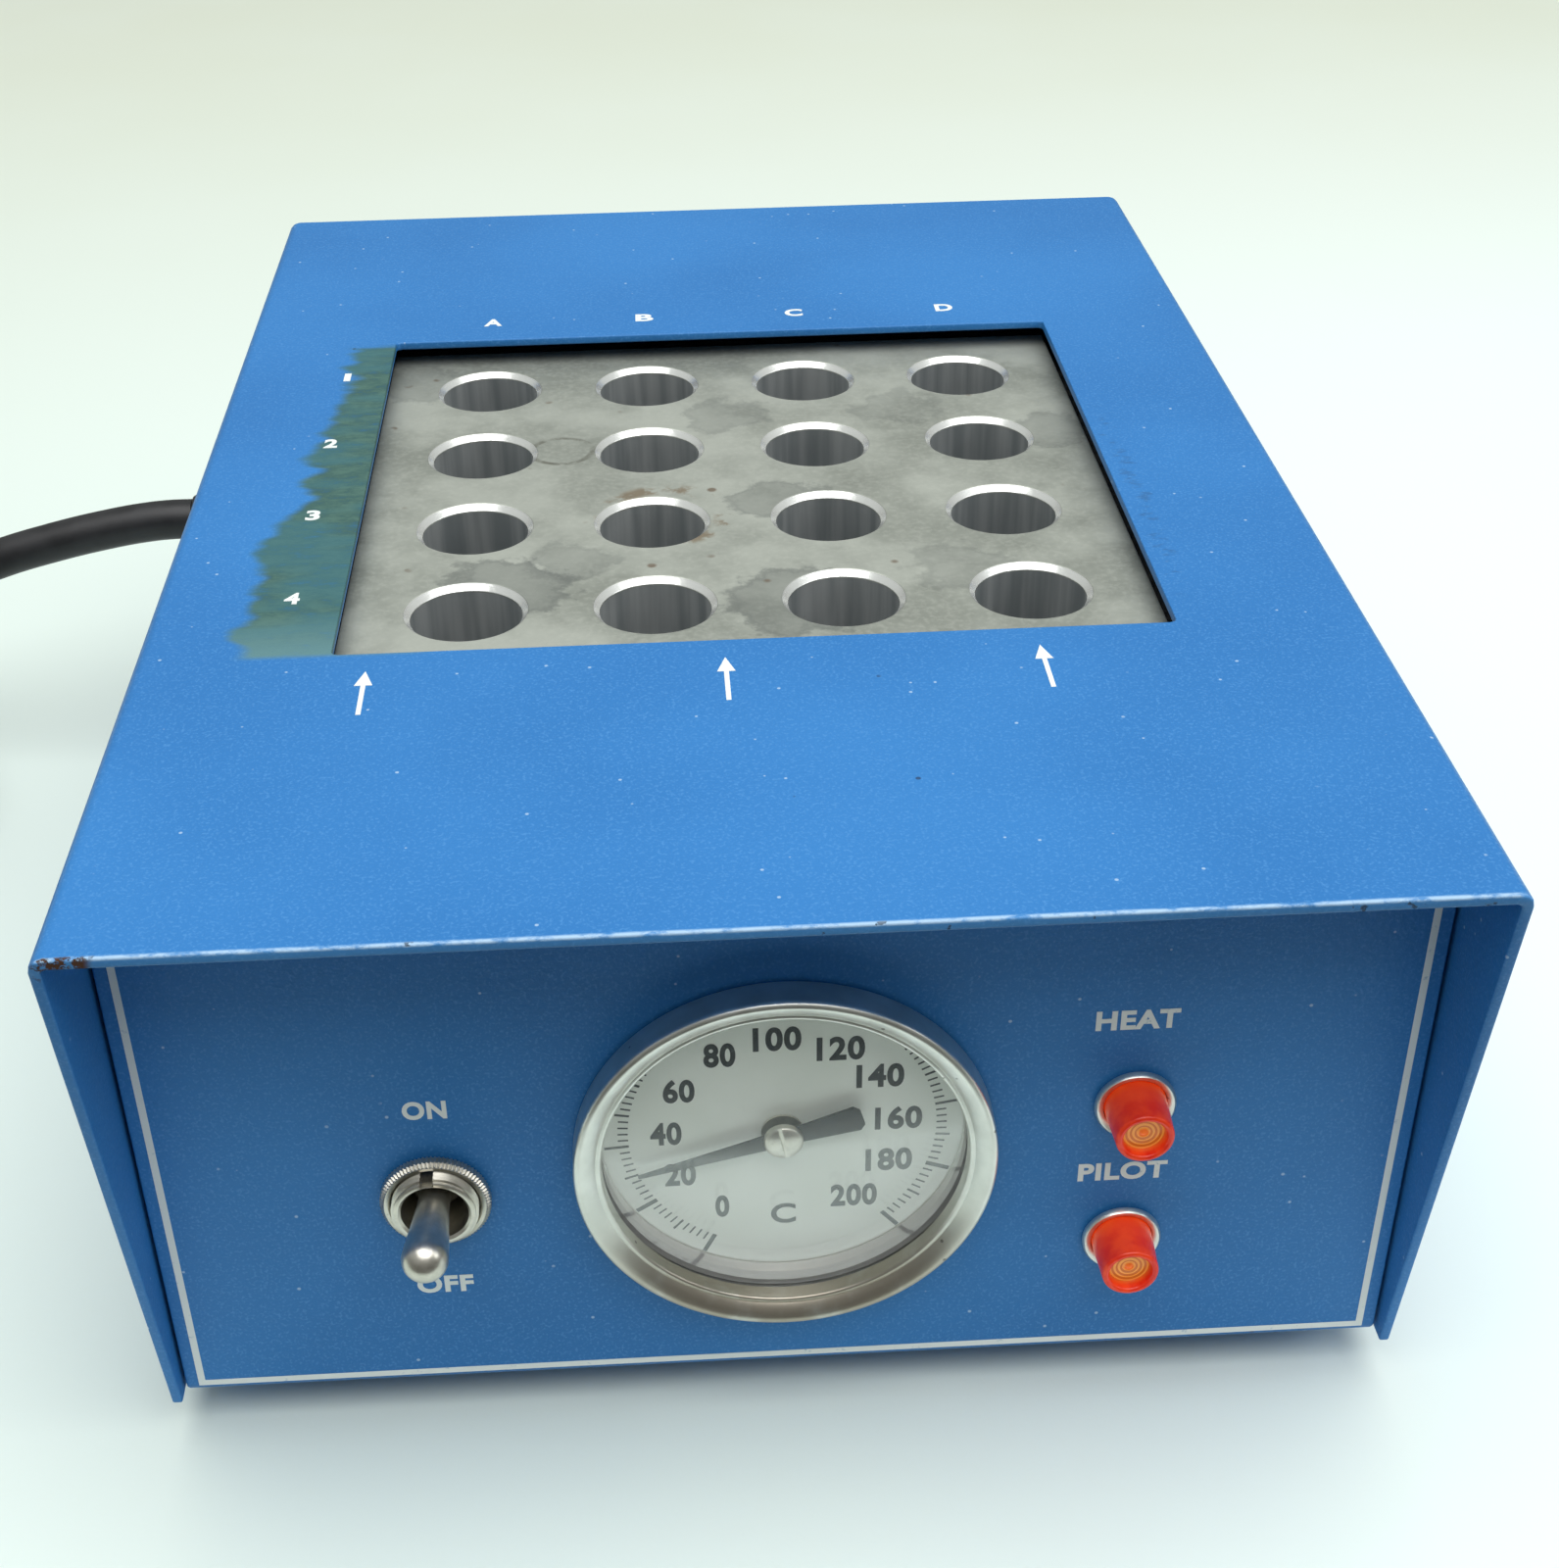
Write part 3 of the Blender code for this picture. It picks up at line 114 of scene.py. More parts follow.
# %% Wires that calculate
class Wire:
    """A socket of a node tree that can be used in a Python expression."""

    def __init__(self, socket):
        self.socket = socket

    def node(self, kind, settings=(), sockets=(), out=0):
        """Add one node: first its settings, then a value or a wire for each socket."""
        tree = self.socket.id_data
        made = tree.nodes.new("ShaderNode" + kind)
        for name, value in dict(settings).items():
            if name == "stops":
                set_stops(made.color_ramp, value)
            else:
                setattr(made, name, value)
        for name, value in dict(sockets).items():
            if isinstance(value, Wire):
                tree.links.new(value.socket, made.inputs[name])
            else:
                made.inputs[name].default_value = value
        return Wire(made.outputs[out]) if made.outputs else None

    def maths(self, operation, first, second=0.0, clamp=False):
        return self.node("Math", {"operation": operation, "use_clamp": clamp},
                         {0: first, 1: second})

    def __add__(self, other):
        return self.maths("ADD", self, other)

    def __sub__(self, other):
        return self.maths("SUBTRACT", self, other)

    def __rsub__(self, other):
        return self.maths("SUBTRACT", other, self)

    def __mul__(self, other):
        return self.maths("MULTIPLY", self, other)

    __radd__ = __add__
    __rmul__ = __mul__

    def size(self):
        return self.maths("ABSOLUTE", self)

    def rise(self, low, high):
        """0 below low, 1 above high, and a soft step between them."""
        return self.node("MapRange", {"interpolation_type": "SMOOTHSTEP"},
                         {"Value": self, "From Min": low, "From Max": high})

    def blend(self, none, full):
        """A colour that goes from none to full as this mask goes from 0 to 1."""
        return self.node("Mix", {"data_type": "RGBA"}, {0: self, 6: none, 7: full}, out=2)

    def axis(self, index):
        return self.node("SeparateXYZ", (), {0: self}, out=index)

    def stretched(self, factors):
        return self.node("VectorMath", {"operation": "MULTIPLY"}, {0: self, 1: factors})

    def moved(self, step):
        return self.node("VectorMath", {"operation": "SUBTRACT"}, {0: self, 1: step})

    def length(self):
        return self.node("VectorMath", {"operation": "LENGTH"}, {0: self}, out="Value")

    def clouds(self, size, detail=3.0, sharpness=0.5):
        """Soft noise, whose patches are about size metres across."""
        return self.node("TexNoise", (), {"Vector": self, "Scale": 1 / size, "Detail": detail,
                                          "Roughness": sharpness})

    def dots(self, size):
        """Distance to the nearest of scattered points, about size metres apart."""
        return self.node("TexVoronoi", (), {"Vector": self, "Scale": 1 / size})

    def specks(self, size, core, edge):
        """Scattered round spots: 1 within core of a point, 0 past edge, as parts of size."""
        return 1 - self.dots(size).rise(core, edge)


def set_stops(ramp, stops):
    """Give a colour ramp its stops, each a place and a colour."""
    while len(ramp.elements) < len(stops):
        ramp.elements.new(0.5)
    for element, (place, colour) in zip(ramp.elements, stops):
        element.position = place
        element.color = (*colour, 1.0)


def tint(red, green, blue):
    """A colour as it is seen, from 0 to 255, made linear for the shader."""
    return tuple((part / 255 / 12.92 if part < 10 else ((part / 255 + 0.055) / 1.055) ** 2.4)
                 for part in (red, green, blue)) + (1.0,)


def begin(name):
    """A new, empty material and the wire of its object coordinates, in metres."""
    material = bpy.data.materials.new(name)
    material.use_nodes = True
    material.node_tree.nodes.clear()
    start = material.node_tree.nodes.new("ShaderNodeTexCoord")
    return material, Wire(start.outputs["Object"])


def complete(place, height=None, depth=0.1 * MM, **sockets):
    """Close a material with a Principled shader, and a bump where height is given."""
    named = {name.replace("_", " "): value for name, value in sockets.items()}
    if height is not None:
        named["Normal"] = place.node("Bump", (), {"Distance": depth, "Height": height},
                                     out="Normal")
    surface = place.node("BsdfPrincipled", (), named)
    place.node("OutputMaterial", (), {"Surface": surface})


print("a mid blue is", [round(part, 3) for part in tint(69, 139, 200)])

# %% [markdown]
# The bench is a plain pale table top, wide enough that its edge never shows. Its left side is
# painted a little darker than its right, a painted shade of the light that comes from the right,
# and it turns greyer far behind the heater. One very large soft lamp hangs over it and a small one
# stands to the right, and the world adds a fill that is darker low down and on the viewer's side.
#
# A pale bench throws a lot of light up under the cover's lip, where a person leaning over the
# bench would block it. A black card, hidden from the camera, lies in front of the heater for
# this, and it also gives the bright rims something dark to mirror. Only its upper face is
# black: light that leaves the bench below it passes through, so the bench keeps its tone.

# %% Bench and light
def bench_finish():
    material, place = begin("bench_laminate")
    mottle = place.clouds(0.12, 4.0)
    # Painted shade: the bench is painted darker on its left than on its right, for the light that
    # comes from the right.
    colour = place.axis(0).rise(-0.35, 0.30).blend(tint(222, 235, 226), tint(231, 243, 240))
    colour = place.axis(1).rise(0.15, 0.75).blend(colour, tint(219, 226, 209))
    colour = (mottle.rise(0.35, 0.75) * 0.2).blend(colour, tint(222, 232, 225))
    grain = place.clouds(0.9 * MM, 2.0)
    complete(place, grain, 0.02 * MM, Base_Color=colour, Roughness=0.42 + mottle * 0.12)
    return material


def bench_top(half=4.0):
    bm = bmesh.new()
    bmesh.ops.create_grid(bm, x_segments=8, y_segments=8, size=half)
    mesh = bpy.data.meshes.new("bench_top")
    bm.to_mesh(mesh)
    bm.free()
    return bpy.data.objects.new("bench_top", mesh)


bench = bench_top()
bench.data.materials.append(bench_finish())
bpy.context.scene.collection.objects.link(bench)


def flag_card(front=-1.6, back=-0.20, half=1.1):
    """A black card on the bench in front of the heater, seen only by bounced light."""
    bm = bmesh.new()
    corners = ((-half, front), (half, front), (half, back), (-half, back))
    bm.faces.new([bm.verts.new((x, y, 2 * MM)) for x, y in corners])
    mesh = bpy.data.meshes.new("flag_card")
    bm.to_mesh(mesh)
    bm.free()
    card = bpy.data.objects.new("flag_card", mesh)
    bpy.context.scene.collection.objects.link(card)
    card.visible_camera = False
    card.visible_shadow = False
    material, place = begin("black_card")
    black = place.node("BsdfPrincipled", (), {"Base Color": tint(52, 48, 44), "Roughness": 0.9})
    clear = place.node("BsdfTransparent")
    from_below = place.node("NewGeometry", out="Backfacing")
    one_sided = place.node("MixShader", (), {0: from_below, 1: black, 2: clear})
    place.node("OutputMaterial", (), {"Surface": one_sided})
    mesh.materials.append(material)
    return card


flag_card()


def soft_lamp(name, place, target, size, power, colour=(1.0, 1.0, 1.0)):
    light = bpy.data.lights.new(name, "AREA")
    light.shape = "DISK"
    light.size = size
    light.energy = power
    light.color = colour
    lamp = bpy.data.objects.new(name, light)
    lamp.location = place
    lamp.rotation_euler = (Vector(target) - Vector(place)).to_track_quat("-Z", "Y").to_euler()
    bpy.context.scene.collection.objects.link(lamp)


soft_lamp("ceiling_lamp", (0.16, -0.45, 2.1), (0.03, -0.1, 0.0), 2.8, 57.0)
soft_lamp("window_lamp", (1.3, -0.3, 0.8), (0.0, 0.0, 0.05), 0.7, 3.0, (0.96, 0.98, 1.0))

world = bpy.data.worlds.new("room")
bpy.context.scene.world = world
world.use_nodes = True
world.node_tree.nodes.clear()
direction = Wire(world.node_tree.nodes.new("ShaderNodeTexCoord").outputs["Generated"])
room = direction.node("ValToRGB", {"stops": (
    (0.0, (0.30, 0.30, 0.29)), (0.12, (0.42, 0.43, 0.41)), (0.45, (0.80, 0.84, 0.82)),
    (1.0, (0.95, 0.99, 0.98)))}, {0: direction.axis(2)})
behind_viewer = 1 - direction.axis(1).rise(-0.9, 0.1)
room = (behind_viewer * 0.55).blend(room, (0.16, 0.15, 0.14, 1.0))
sky = direction.node("Background", (), {"Color": room, "Strength": 0.55})
direction.node("OutputWorld", (), {"Surface": sky})
bpy.context.scene.view_settings.view_transform = "Standard"

# %% [markdown]
# The mains lead leaves the left side and is put away as a neat round coil with its plug beside
# it. The stretch that hangs and the stretch that leads to the plug are listed points. The coil
# is worked out: six slots, two wide and three high, filled one after the other, with a short
# slanting step wherever the lead moves on to the next slot.

# %% Route of the mains lead
CORD_RADIUS = 4.15 * MM
CORD_RUN = (
    (-0.1112, 0.0945, 0.0475), (-0.1160, 0.0945, 0.0475), (-0.1220, 0.0945, 0.0470),
    (-0.1300, 0.0943, 0.0458), (-0.1415, 0.0938, 0.0435), (-0.1540, 0.0932, 0.0402),
    (-0.1650, 0.0928, 0.0358), (-0.1735, 0.0925, 0.0312), (-0.1852, 0.0922, 0.0244))
CORD_TAIL = (
    (-0.2600, 0.0165, 0.0045), (-0.2597, 0.0060, 0.0045), (-0.2582, -0.0030, 0.0048),
    (-0.2560, -0.0120, 0.0062), (-0.2540, -0.0185, 0.0084), (-0.2528, -0.0240, 0.0106),
    (-0.2524, -0.0275, 0.0113), (-0.2524, -0.0305, 0.0113))
COIL_CENTRE = (-0.2120, 0.0445)
COIL_COLUMNS = {"inner": 39.35 * MM, "outer": 47.65 * MM}
COIL_LAYERS = {"top": 5 * CORD_RADIUS, "middle": 3 * CORD_RADIUS, "bottom": CORD_RADIUS}
COIL_START, COIL_END = 98, 1980                   # degrees wound, counted from the right
SLOT_CHANGE = 36                                  # degrees that a step takes
SLOTS = (("top", "outer", COIL_START), ("top", "inner", 395), ("middle", "inner", 735),
         ("middle", "outer", 1090), ("bottom", "inner", 1440), ("bottom", "outer", 1632))


def coil_point(angle):
    """Where the wound lead is after angle degrees."""
    earlier = [slot for slot in SLOTS if slot[2] <= angle]
    layer, column, begun = earlier[-1]
    radius, height = COIL_COLUMNS[column], COIL_LAYERS[layer]
    if len(earlier) > 1 and angle < begun + SLOT_CHANGE:
        share = (angle - begun) / SLOT_CHANGE
        share = share * share * (3 - 2 * share)
        radius += (1 - share) * (COIL_COLUMNS[earlier[-2][1]] - radius)
        height += (1 - share) * (COIL_LAYERS[earlier[-2][0]] - height)
    turn = math.radians(angle)
    return (COIL_CENTRE[0] + radius * math.cos(turn), COIL_CENTRE[1] + radius * math.sin(turn),
            height)


coil_points = [coil_point(angle) for angle in range(COIL_START, COIL_END + 1, 14)]
cord_points = CORD_RUN + tuple(coil_points) + CORD_TAIL
print("lead:", len(cord_points), "points,", len(coil_points), "of them in the coil")

# %% Mains lead
def lead_along(name, points, radius):
    """A round lead as one open curve with smooth handles."""
    curve = bpy.data.curves.new(name, "CURVE")
    curve.dimensions = "3D"
    curve.bevel_depth = radius
    curve.bevel_resolution = 7
    curve.resolution_u = 6
    curve.use_fill_caps = True
    spline = curve.splines.new("BEZIER")
    spline.bezier_points.add(len(points) - 1)
    for knot, point in zip(spline.bezier_points, points):
        knot.co = point
        knot.handle_left_type = knot.handle_right_type = "AUTO"
    lead = bpy.data.objects.new(name, curve)
    bpy.context.scene.collection.objects.link(lead)
    return lead


def cord_finish():
    material, place = begin("black_lead_jacket")
    streaks = place.clouds(6 * MM, 3.0)
    dust = place.dots(3 * MM).rise(0.10, 0.0) * place.clouds(20 * MM).rise(0.5, 0.7)
    colour = streaks.rise(0.35, 0.7).blend(tint(22, 22, 24), tint(38, 38, 40))
    colour = (dust * 0.5).blend(colour, tint(120, 120, 116))
    complete(place, place.clouds(0.5 * MM, 2.0), 0.02 * MM, Base_Color=colour,
             Roughness=0.36 + streaks * 0.16)
    return material


def wound_length(points):
    return sum(math.dist(near, far) for near, far in zip(points, points[1:]))


mains_cord = lead_along("mains_cord", cord_points, CORD_RADIUS)
mains_cord.data.materials.append(cord_finish())
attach(mains_cord, "root")
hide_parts("cord_run", "cord_coil", "cord_tail")
print("lead length about", round(wound_length(cord_points), 3), "m")

# %% [markdown]
# Most pieces are turned parts: a half outline spun about an axis. One helper spins an outline
# and one closes a mesh into a piece, with smooth faces, crisp edges where the angle is sharp,
# a body to ride on and the finish slot that it takes.

# %% Shaping helpers
def turned(outline, place, steps=96):
    """Spin a closed outline of (radius, height) points about the place's own Z axis."""
    bm = bmesh.new()
    verts = [bm.verts.new((radius, 0, height)) for radius, height in outline]
    edges = [bm.edges.new((verts[index - 1], verts[index])) for index in range(len(verts))]
    bmesh.ops.spin(bm, geom=verts + edges, cent=(0, 0, 0), axis=(0, 0, 1), angle=2 * math.pi,
                   steps=steps, use_merge=True)
    bmesh.ops.remove_doubles(bm, verts=bm.verts, dist=1e-6)
    bmesh.ops.dissolve_degenerate(bm, edges=bm.edges, dist=1e-7)
    bmesh.ops.transform(bm, matrix=place, verts=bm.verts)
    return bm


def add_block(bm, size, place):
    """Add a box of a size, with its middle at a place."""
    made = bmesh.ops.create_cube(bm, size=1.0)
    bmesh.ops.transform(bm, matrix=place @ Matrix.Diagonal((*size, 1.0)), verts=made["verts"])


def into_object(name, bm, sharp=38):
    bmesh.ops.recalc_face_normals(bm, faces=bm.faces)
    mesh = bpy.data.meshes.new(name)
    bm.to_mesh(mesh)
    bm.free()
    mesh.shade_smooth()
    mesh.set_sharp_from_angle(angle=math.radians(sharp))
    made = bpy.data.objects.new(name, mesh)
    bpy.context.scene.collection.objects.link(made)
    return made


def soften(made, width, segments=2, angle=38):
    """Round the sharp edges a little, as a deburred or moulded edge is."""
    bevel = made.modifiers.new("rounded_edges", "BEVEL")
    bevel.width = width
    bevel.segments = segments
    bevel.limit_method = "ANGLE"
    bevel.angle_limit = math.radians(angle)
    bevel.harden_normals = True
    bevel.use_clamp_overlap = True
    return made


def fit(made, finish, body="root", stands_for=()):
    """Give a piece its finish, its body and the plain parts that it stands for."""
    made.data.materials.clear()
    made.data.materials.append(finish)
    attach(made, body)
    if stands_for:
        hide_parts(*stands_for)
    print("fitted", made.name)
    return made


def cut(made, tool):
    """Take one object out of another and keep the result."""
    knife = made.modifiers.new("cut", "BOOLEAN")
    knife.operation = "DIFFERENCE"
    knife.solver = "EXACT"
    knife.object = tool
    left = bpy.data.meshes.new_from_object(
        made.evaluated_get(bpy.context.evaluated_depsgraph_get()))
    made.modifiers.clear()
    made.data = left
    left.shade_smooth()
    left.set_sharp_from_angle(angle=math.radians(38))
    bpy.data.objects.remove(tool)
    return made


def facing_front(x, z):
    """A place on the front panel: its X is right, its Y is up and its Z is outwards."""
    return Matrix.Translation((x, PANEL_Y, z)) @ Matrix.Rotation(math.radians(90), 4, "X")


def facing_side(sign, y, z):
    """A place on the cover's left (-1) or right (1) side, with its Z outwards."""
    return (Matrix.Translation((sign * cover_high[0], y, z))
            @ Matrix.Rotation(math.radians(90 * sign), 4, "Y"))


def arc(centre, radius, start, end, steps=6):
    """Outline points round a centre, from one angle to another in degrees."""
    angles = [math.radians(start + (end - start) * step / steps) for step in range(steps + 1)]
    return [(centre[0] + radius * math.cos(turn), centre[1] + radius * math.sin(turn))
            for turn in angles]


print("front panel origin:", facing_front(0, 0).translation[:])

# %% [markdown]
# The cover and the pan are folded from sheet steel and sprayed blue. The real coat is a satin
# with a very fine orange peel, tiny pale specks and dark nicks. Handling wears it: a paler
# scuffed line on the front fold, rusty chips at one corner, and beside the window a drip of
# teal green that dried in brushy streaks. Each mark is a mask, and the colours are laid over
# one another in the order in which they came.

# %% Blue paint
def teal_drip(place, colour, wave, mottle):
    """The dried drip left of the window: its colour over the paint, and its mask."""
    x, y = place.axis(0), place.axis(1)
    top = place.axis(2).rise(cover_high[2] - 1.0 * MM, cover_high[2] - 0.5 * MM)
    ragged = place.stretched((0.5, 1.3, 1.0)).clouds(13 * MM, 2.0)
    edge = x + (ragged - 0.5) * (13 * MM) + (wave - 0.5) * (3.5 * MM) + (0.060 - y) * 0.079
    drip = top * edge.rise(-0.0672, -0.0645) * (1 - x.rise(-0.050, -0.045))
    drip = drip * y.rise(-0.0618, -0.0600) * (1 - (y + wave * (8 * MM)).rise(0.060, 0.064))
    teal = mottle.rise(0.34, 0.66).blend(tint(46, 82, 76), tint(72, 106, 94))
    teal = (ragged.rise(0.45, 0.62) * 0.6).blend(teal, tint(54, 104, 112))
    teal = (1 - y.rise(-0.062, -0.045)).blend(teal, tint(88, 128, 132))
    return (drip * (mottle.rise(0.22, 0.48) * 0.3 + 0.68)).blend(colour, teal), drip


def handling_wear(place, colour, wave, mottle):
    """A rubbed line right of the window, a scuffed front fold, chips, and rust at a corner."""
    x, y, z = place.axis(0), place.axis(1), place.axis(2)
    top = z.rise(cover_high[2] - 1.0 * MM, cover_high[2] - 0.5 * MM)
    rub = (x - 63.5 * MM + (wave - 0.5) * (9 * MM)).size()
    rub = top * (1 - rub.rise(0.4 * MM, 1.7 * MM)) * mottle.rise(0.5, 0.62)
    rub = rub * y.rise(-0.055, -0.045) * (1 - y.rise(0.010, 0.022))
    colour = (rub * 0.38).blend(colour, tint(38, 74, 110))
    front = 1 - (y - cover_low[1] + (wave - 0.5) * (0.5 * MM)).rise(0.25 * MM, 0.75 * MM)
    colour = (front * 0.35).blend(colour, tint(92, 156, 212))
    scuff = front * z.rise(cover_high[2] - 0.50 * MM, cover_high[2] - 0.15 * MM)
    colour = (scuff * mottle.rise(0.34, 0.56) * 0.85).blend(colour, tint(176, 206, 230))
    chips = front * place.clouds(2.6 * MM, 3.0, 0.6).rise(0.66, 0.70)
    colour = (chips * 0.75).blend(colour, tint(34, 46, 62))
    corner = 1 - (x + 84.9 * MM + (wave - 0.5) * (3 * MM)).size().rise(2.6 * MM, 4.2 * MM)
    rust = corner * front * place.clouds(1.7 * MM, 4.0, 0.7).rise(0.47, 0.55)
    return rust.blend(colour, (0.072, 0.030, 0.014, 1.0)), rust, chips


def blue_coat(name, marks):
    """Satin blue; marks adds what only the cover carries."""
    material, place = begin(name)
    drift = place.clouds(70 * MM, 3.0)
    peel = place.clouds(1.1 * MM, 3.0, 0.6)
    colour = drift.rise(0.3, 0.7).blend(tint(37, 111, 177), tint(46, 121, 188))
    grain = place.clouds(0.45 * MM, 2.0)
    colour = (grain.rise(0.50, 0.72) * 0.42).blend(colour, tint(84, 148, 208))
    pale = place.specks(4.2 * MM, 0.045, 0.075) * place.clouds(9 * MM).rise(0.46, 0.52)
    colour = (pale * 0.75).blend(colour, tint(168, 196, 222))
    nicks = place.specks(13 * MM, 0.02, 0.034) * place.clouds(31 * MM).rise(0.50, 0.55)
    colour = (nicks * 0.8).blend(colour, tint(27, 52, 84))
    roughness = 0.43 + drift * 0.10
    if marks:
        wave = place.stretched((0.35, 3.0, 1.0)).clouds(9 * MM, 4.0, 0.65)
        mottle = place.stretched((1.0, 2.2, 1.0)).clouds(4 * MM, 5.0, 0.7)
        colour, drip = teal_drip(place, colour, wave, mottle)
        colour, rust, chips = handling_wear(place, colour, wave, mottle)
        roughness = roughness + drip * 0.16 + rust * 0.35
        peel = peel - (chips + rust) * 1.5 + drip * mottle * 0.4
    complete(place, peel, 0.10 * MM, Base_Color=colour, Roughness=roughness,
             Specular_IOR_Level=0.36)
    return material


def soft_sheet_edges(node, width):
    """Weld a plain part's split corners, then round its sheet edges."""
    part = frame["nodes"][node]
    weld = part.modifiers.new("joined_corners", "WELD")
    weld.merge_threshold = 0.001 * MM
    smooth = part.modifiers.new("smooth_faces", "NODES")
    smooth.node_group = smooth_faces
    soften(part, width, 2, 30)
    level = part.modifiers.new("flat_broad_faces", "WEIGHTED_NORMAL")
    level.weight = 100
    return part


smooth_faces = bpy.data.node_groups.new("smooth_faces", "GeometryNodeTree")
smooth_faces.interface.new_socket("Geometry", in_out="INPUT", socket_type="NodeSocketGeometry")
smooth_faces.interface.new_socket("Geometry", in_out="OUTPUT", socket_type="NodeSocketGeometry")
taken = smooth_faces.nodes.new("NodeGroupInput")
shaded = smooth_faces.nodes.new("GeometryNodeSetShadeSmooth")
given = smooth_faces.nodes.new("NodeGroupOutput")
smooth_faces.links.new(taken.outputs[0], shaded.inputs[0])
smooth_faces.links.new(shaded.outputs[0], given.inputs[0])

for node, marks in (("cover", True), ("chassis", False)):
    part = soft_sheet_edges(node, 0.35 * MM)
    part.data.materials[0] = blue_coat("blue_coat_" + node, marks)
    print("painted", node)

# %% [markdown]
# The block is a machined slab of aluminium with sixteen drilled wells, each with a turned
# chamfer. Years of hot water leave it dull and grey, with darker puddle marks, a ring where a
# wet tube stood and a few brown spots. Each chamfer is painted near white as a painted highlight,
# and the bore walls carry painted reflections in vertical streaks. The wells are cut with one
# tool made of sixteen turned drills, the same way a drilling jig would make them.

# %% Heater block
WELL_RADIUS = 8.5 * MM
WELL_CHAMFER = 1.0 * MM
WELL_PITCH = 28.7 * MM
WELL_DEPTH = 50.0 * MM
WELLS_PER_SIDE = 4


def well_centres():
    centre_x = (block_low[0] + block_high[0]) / 2
    centre_y = (block_low[1] + block_high[1]) / 2
    reach = (WELLS_PER_SIDE - 1) / 2
    return [(centre_x + (column - reach) * WELL_PITCH, centre_y + (row - reach) * WELL_PITCH)
            for row in range(WELLS_PER_SIDE) for column in range(WELLS_PER_SIDE)]


def away_on_top(place, x, y):
    """Distance from a point of the block's top; depth hardly counts, so it goes down a well."""
    return place.moved((x * MM, y * MM, block_high[2])).stretched((1.0, 1.0, 0.02)).length()


def spot(place, x, y, radius, ragged):
    """A round mark on the block's top, with a ragged rim."""
    away = away_on_top(place, x, y) + (ragged - 0.5) * (15 * MM)
    rim = 1 - (away - radius * 0.86 * MM).size().rise(0.3 * MM, 1.6 * MM)
    return (1 - away.rise(radius * 0.82 * MM, radius * MM)) * (ragged * 0.7 + 0.3) + rim * 0.22


PUDDLES = (                                       # x, y and radius in mm, then how dark
    (-37, -33, 11, 0.60), (7, -40, 12, 0.60), (7, -5, 8, 0.50), (-28, -25, 7, 0.35),
    (0, 31, 8, 0.35), (34, -32, 9, 0.30), (30, 32, 8, 0.25), (55, 20, 8, 0.40),
    (-56, 50, 9, 0.35))


def block_metal():
    material, place = begin("stained_aluminium")
    ragged = place.clouds(7 * MM, 5.0, 0.65)
    drift = place.clouds(26 * MM, 4.0, 0.6)
    fine = place.clouds(1.0 * MM, 3.0, 0.6)
    z = place.axis(2)
    colour = drift.rise(0.35, 0.65).blend((0.31, 0.33, 0.29, 1), (0.49, 0.515, 0.46, 1))
    colour = (fine.rise(0.40, 0.75) * 0.35).blend(colour, (0.56, 0.58, 0.52, 1))
    for x, y, radius, dark in PUDDLES:
        puddle = spot(place, x, y, radius, ragged) * dark
        colour = puddle.blend(colour, (0.12, 0.135, 0.13, 1))
    ring = away_on_top(place, -29.5, 18.0)
    ring = 1 - (ring + (ragged - 0.5) * (1.5 * MM) - 5.4 * MM).size().rise(0.2 * MM, 0.8 * MM)
    colour = (ring * ragged.rise(0.40, 0.6) * 0.8).blend(colour, (0.14, 0.14, 0.11, 1))
    brown = place.specks(8 * MM, 0.06, 0.13) * drift.rise(0.49, 0.55)
    colour = (brown * 0.75).blend(colour, (0.16, 0.10, 0.055, 1))
    seep = away_on_top(place, -12.0, -9.0)
    seep = (1 - (seep - 9.8 * MM).size().rise(0.6 * MM, 2.6 * MM)) * ragged.rise(0.48, 0.6)
    colour = (seep * 0.7).blend(colour, (0.20, 0.13, 0.06, 1))
    depth = block_high[2]
    # Painted highlight: each well's chamfer is painted near white and made glossier, for the bright
    # rims that catch the light.
    chamfer_highlight = z.rise(depth - 1.05 * MM, depth - 0.95 * MM)
    chamfer_highlight = chamfer_highlight * (1 - z.rise(depth - 0.14 * MM, depth - 0.06 * MM))
    # Painted reflections: the bore walls below the chamfers are painted in light and dark vertical
    # streaks.
    bore_reflection_streaks = place.stretched((1.0, 1.0, 0.05)).clouds(2.6 * MM, 3.0, 0.5)
    inside = 1 - z.rise(depth - 1.3 * MM, depth - 1.0 * MM)
    wall = bore_reflection_streaks.rise(0.3, 0.7).blend((0.36, 0.39, 0.40, 1), (0.60, 0.62, 0.62, 1))
    colour = chamfer_highlight.blend(inside.blend(colour, wall), (0.86, 0.87, 0.84, 1))
    feed = place.stretched((1.0, 0.04, 1.0)).clouds(0.8 * MM, 2.0)
    complete(place, feed + fine * 0.6, 0.02 * MM, Base_Color=colour, Metallic=0.72,
             Roughness=(0.44 + ragged * 0.22) * (1 - chamfer_highlight * 0.55) * (1 - inside * 0.25))
    return material


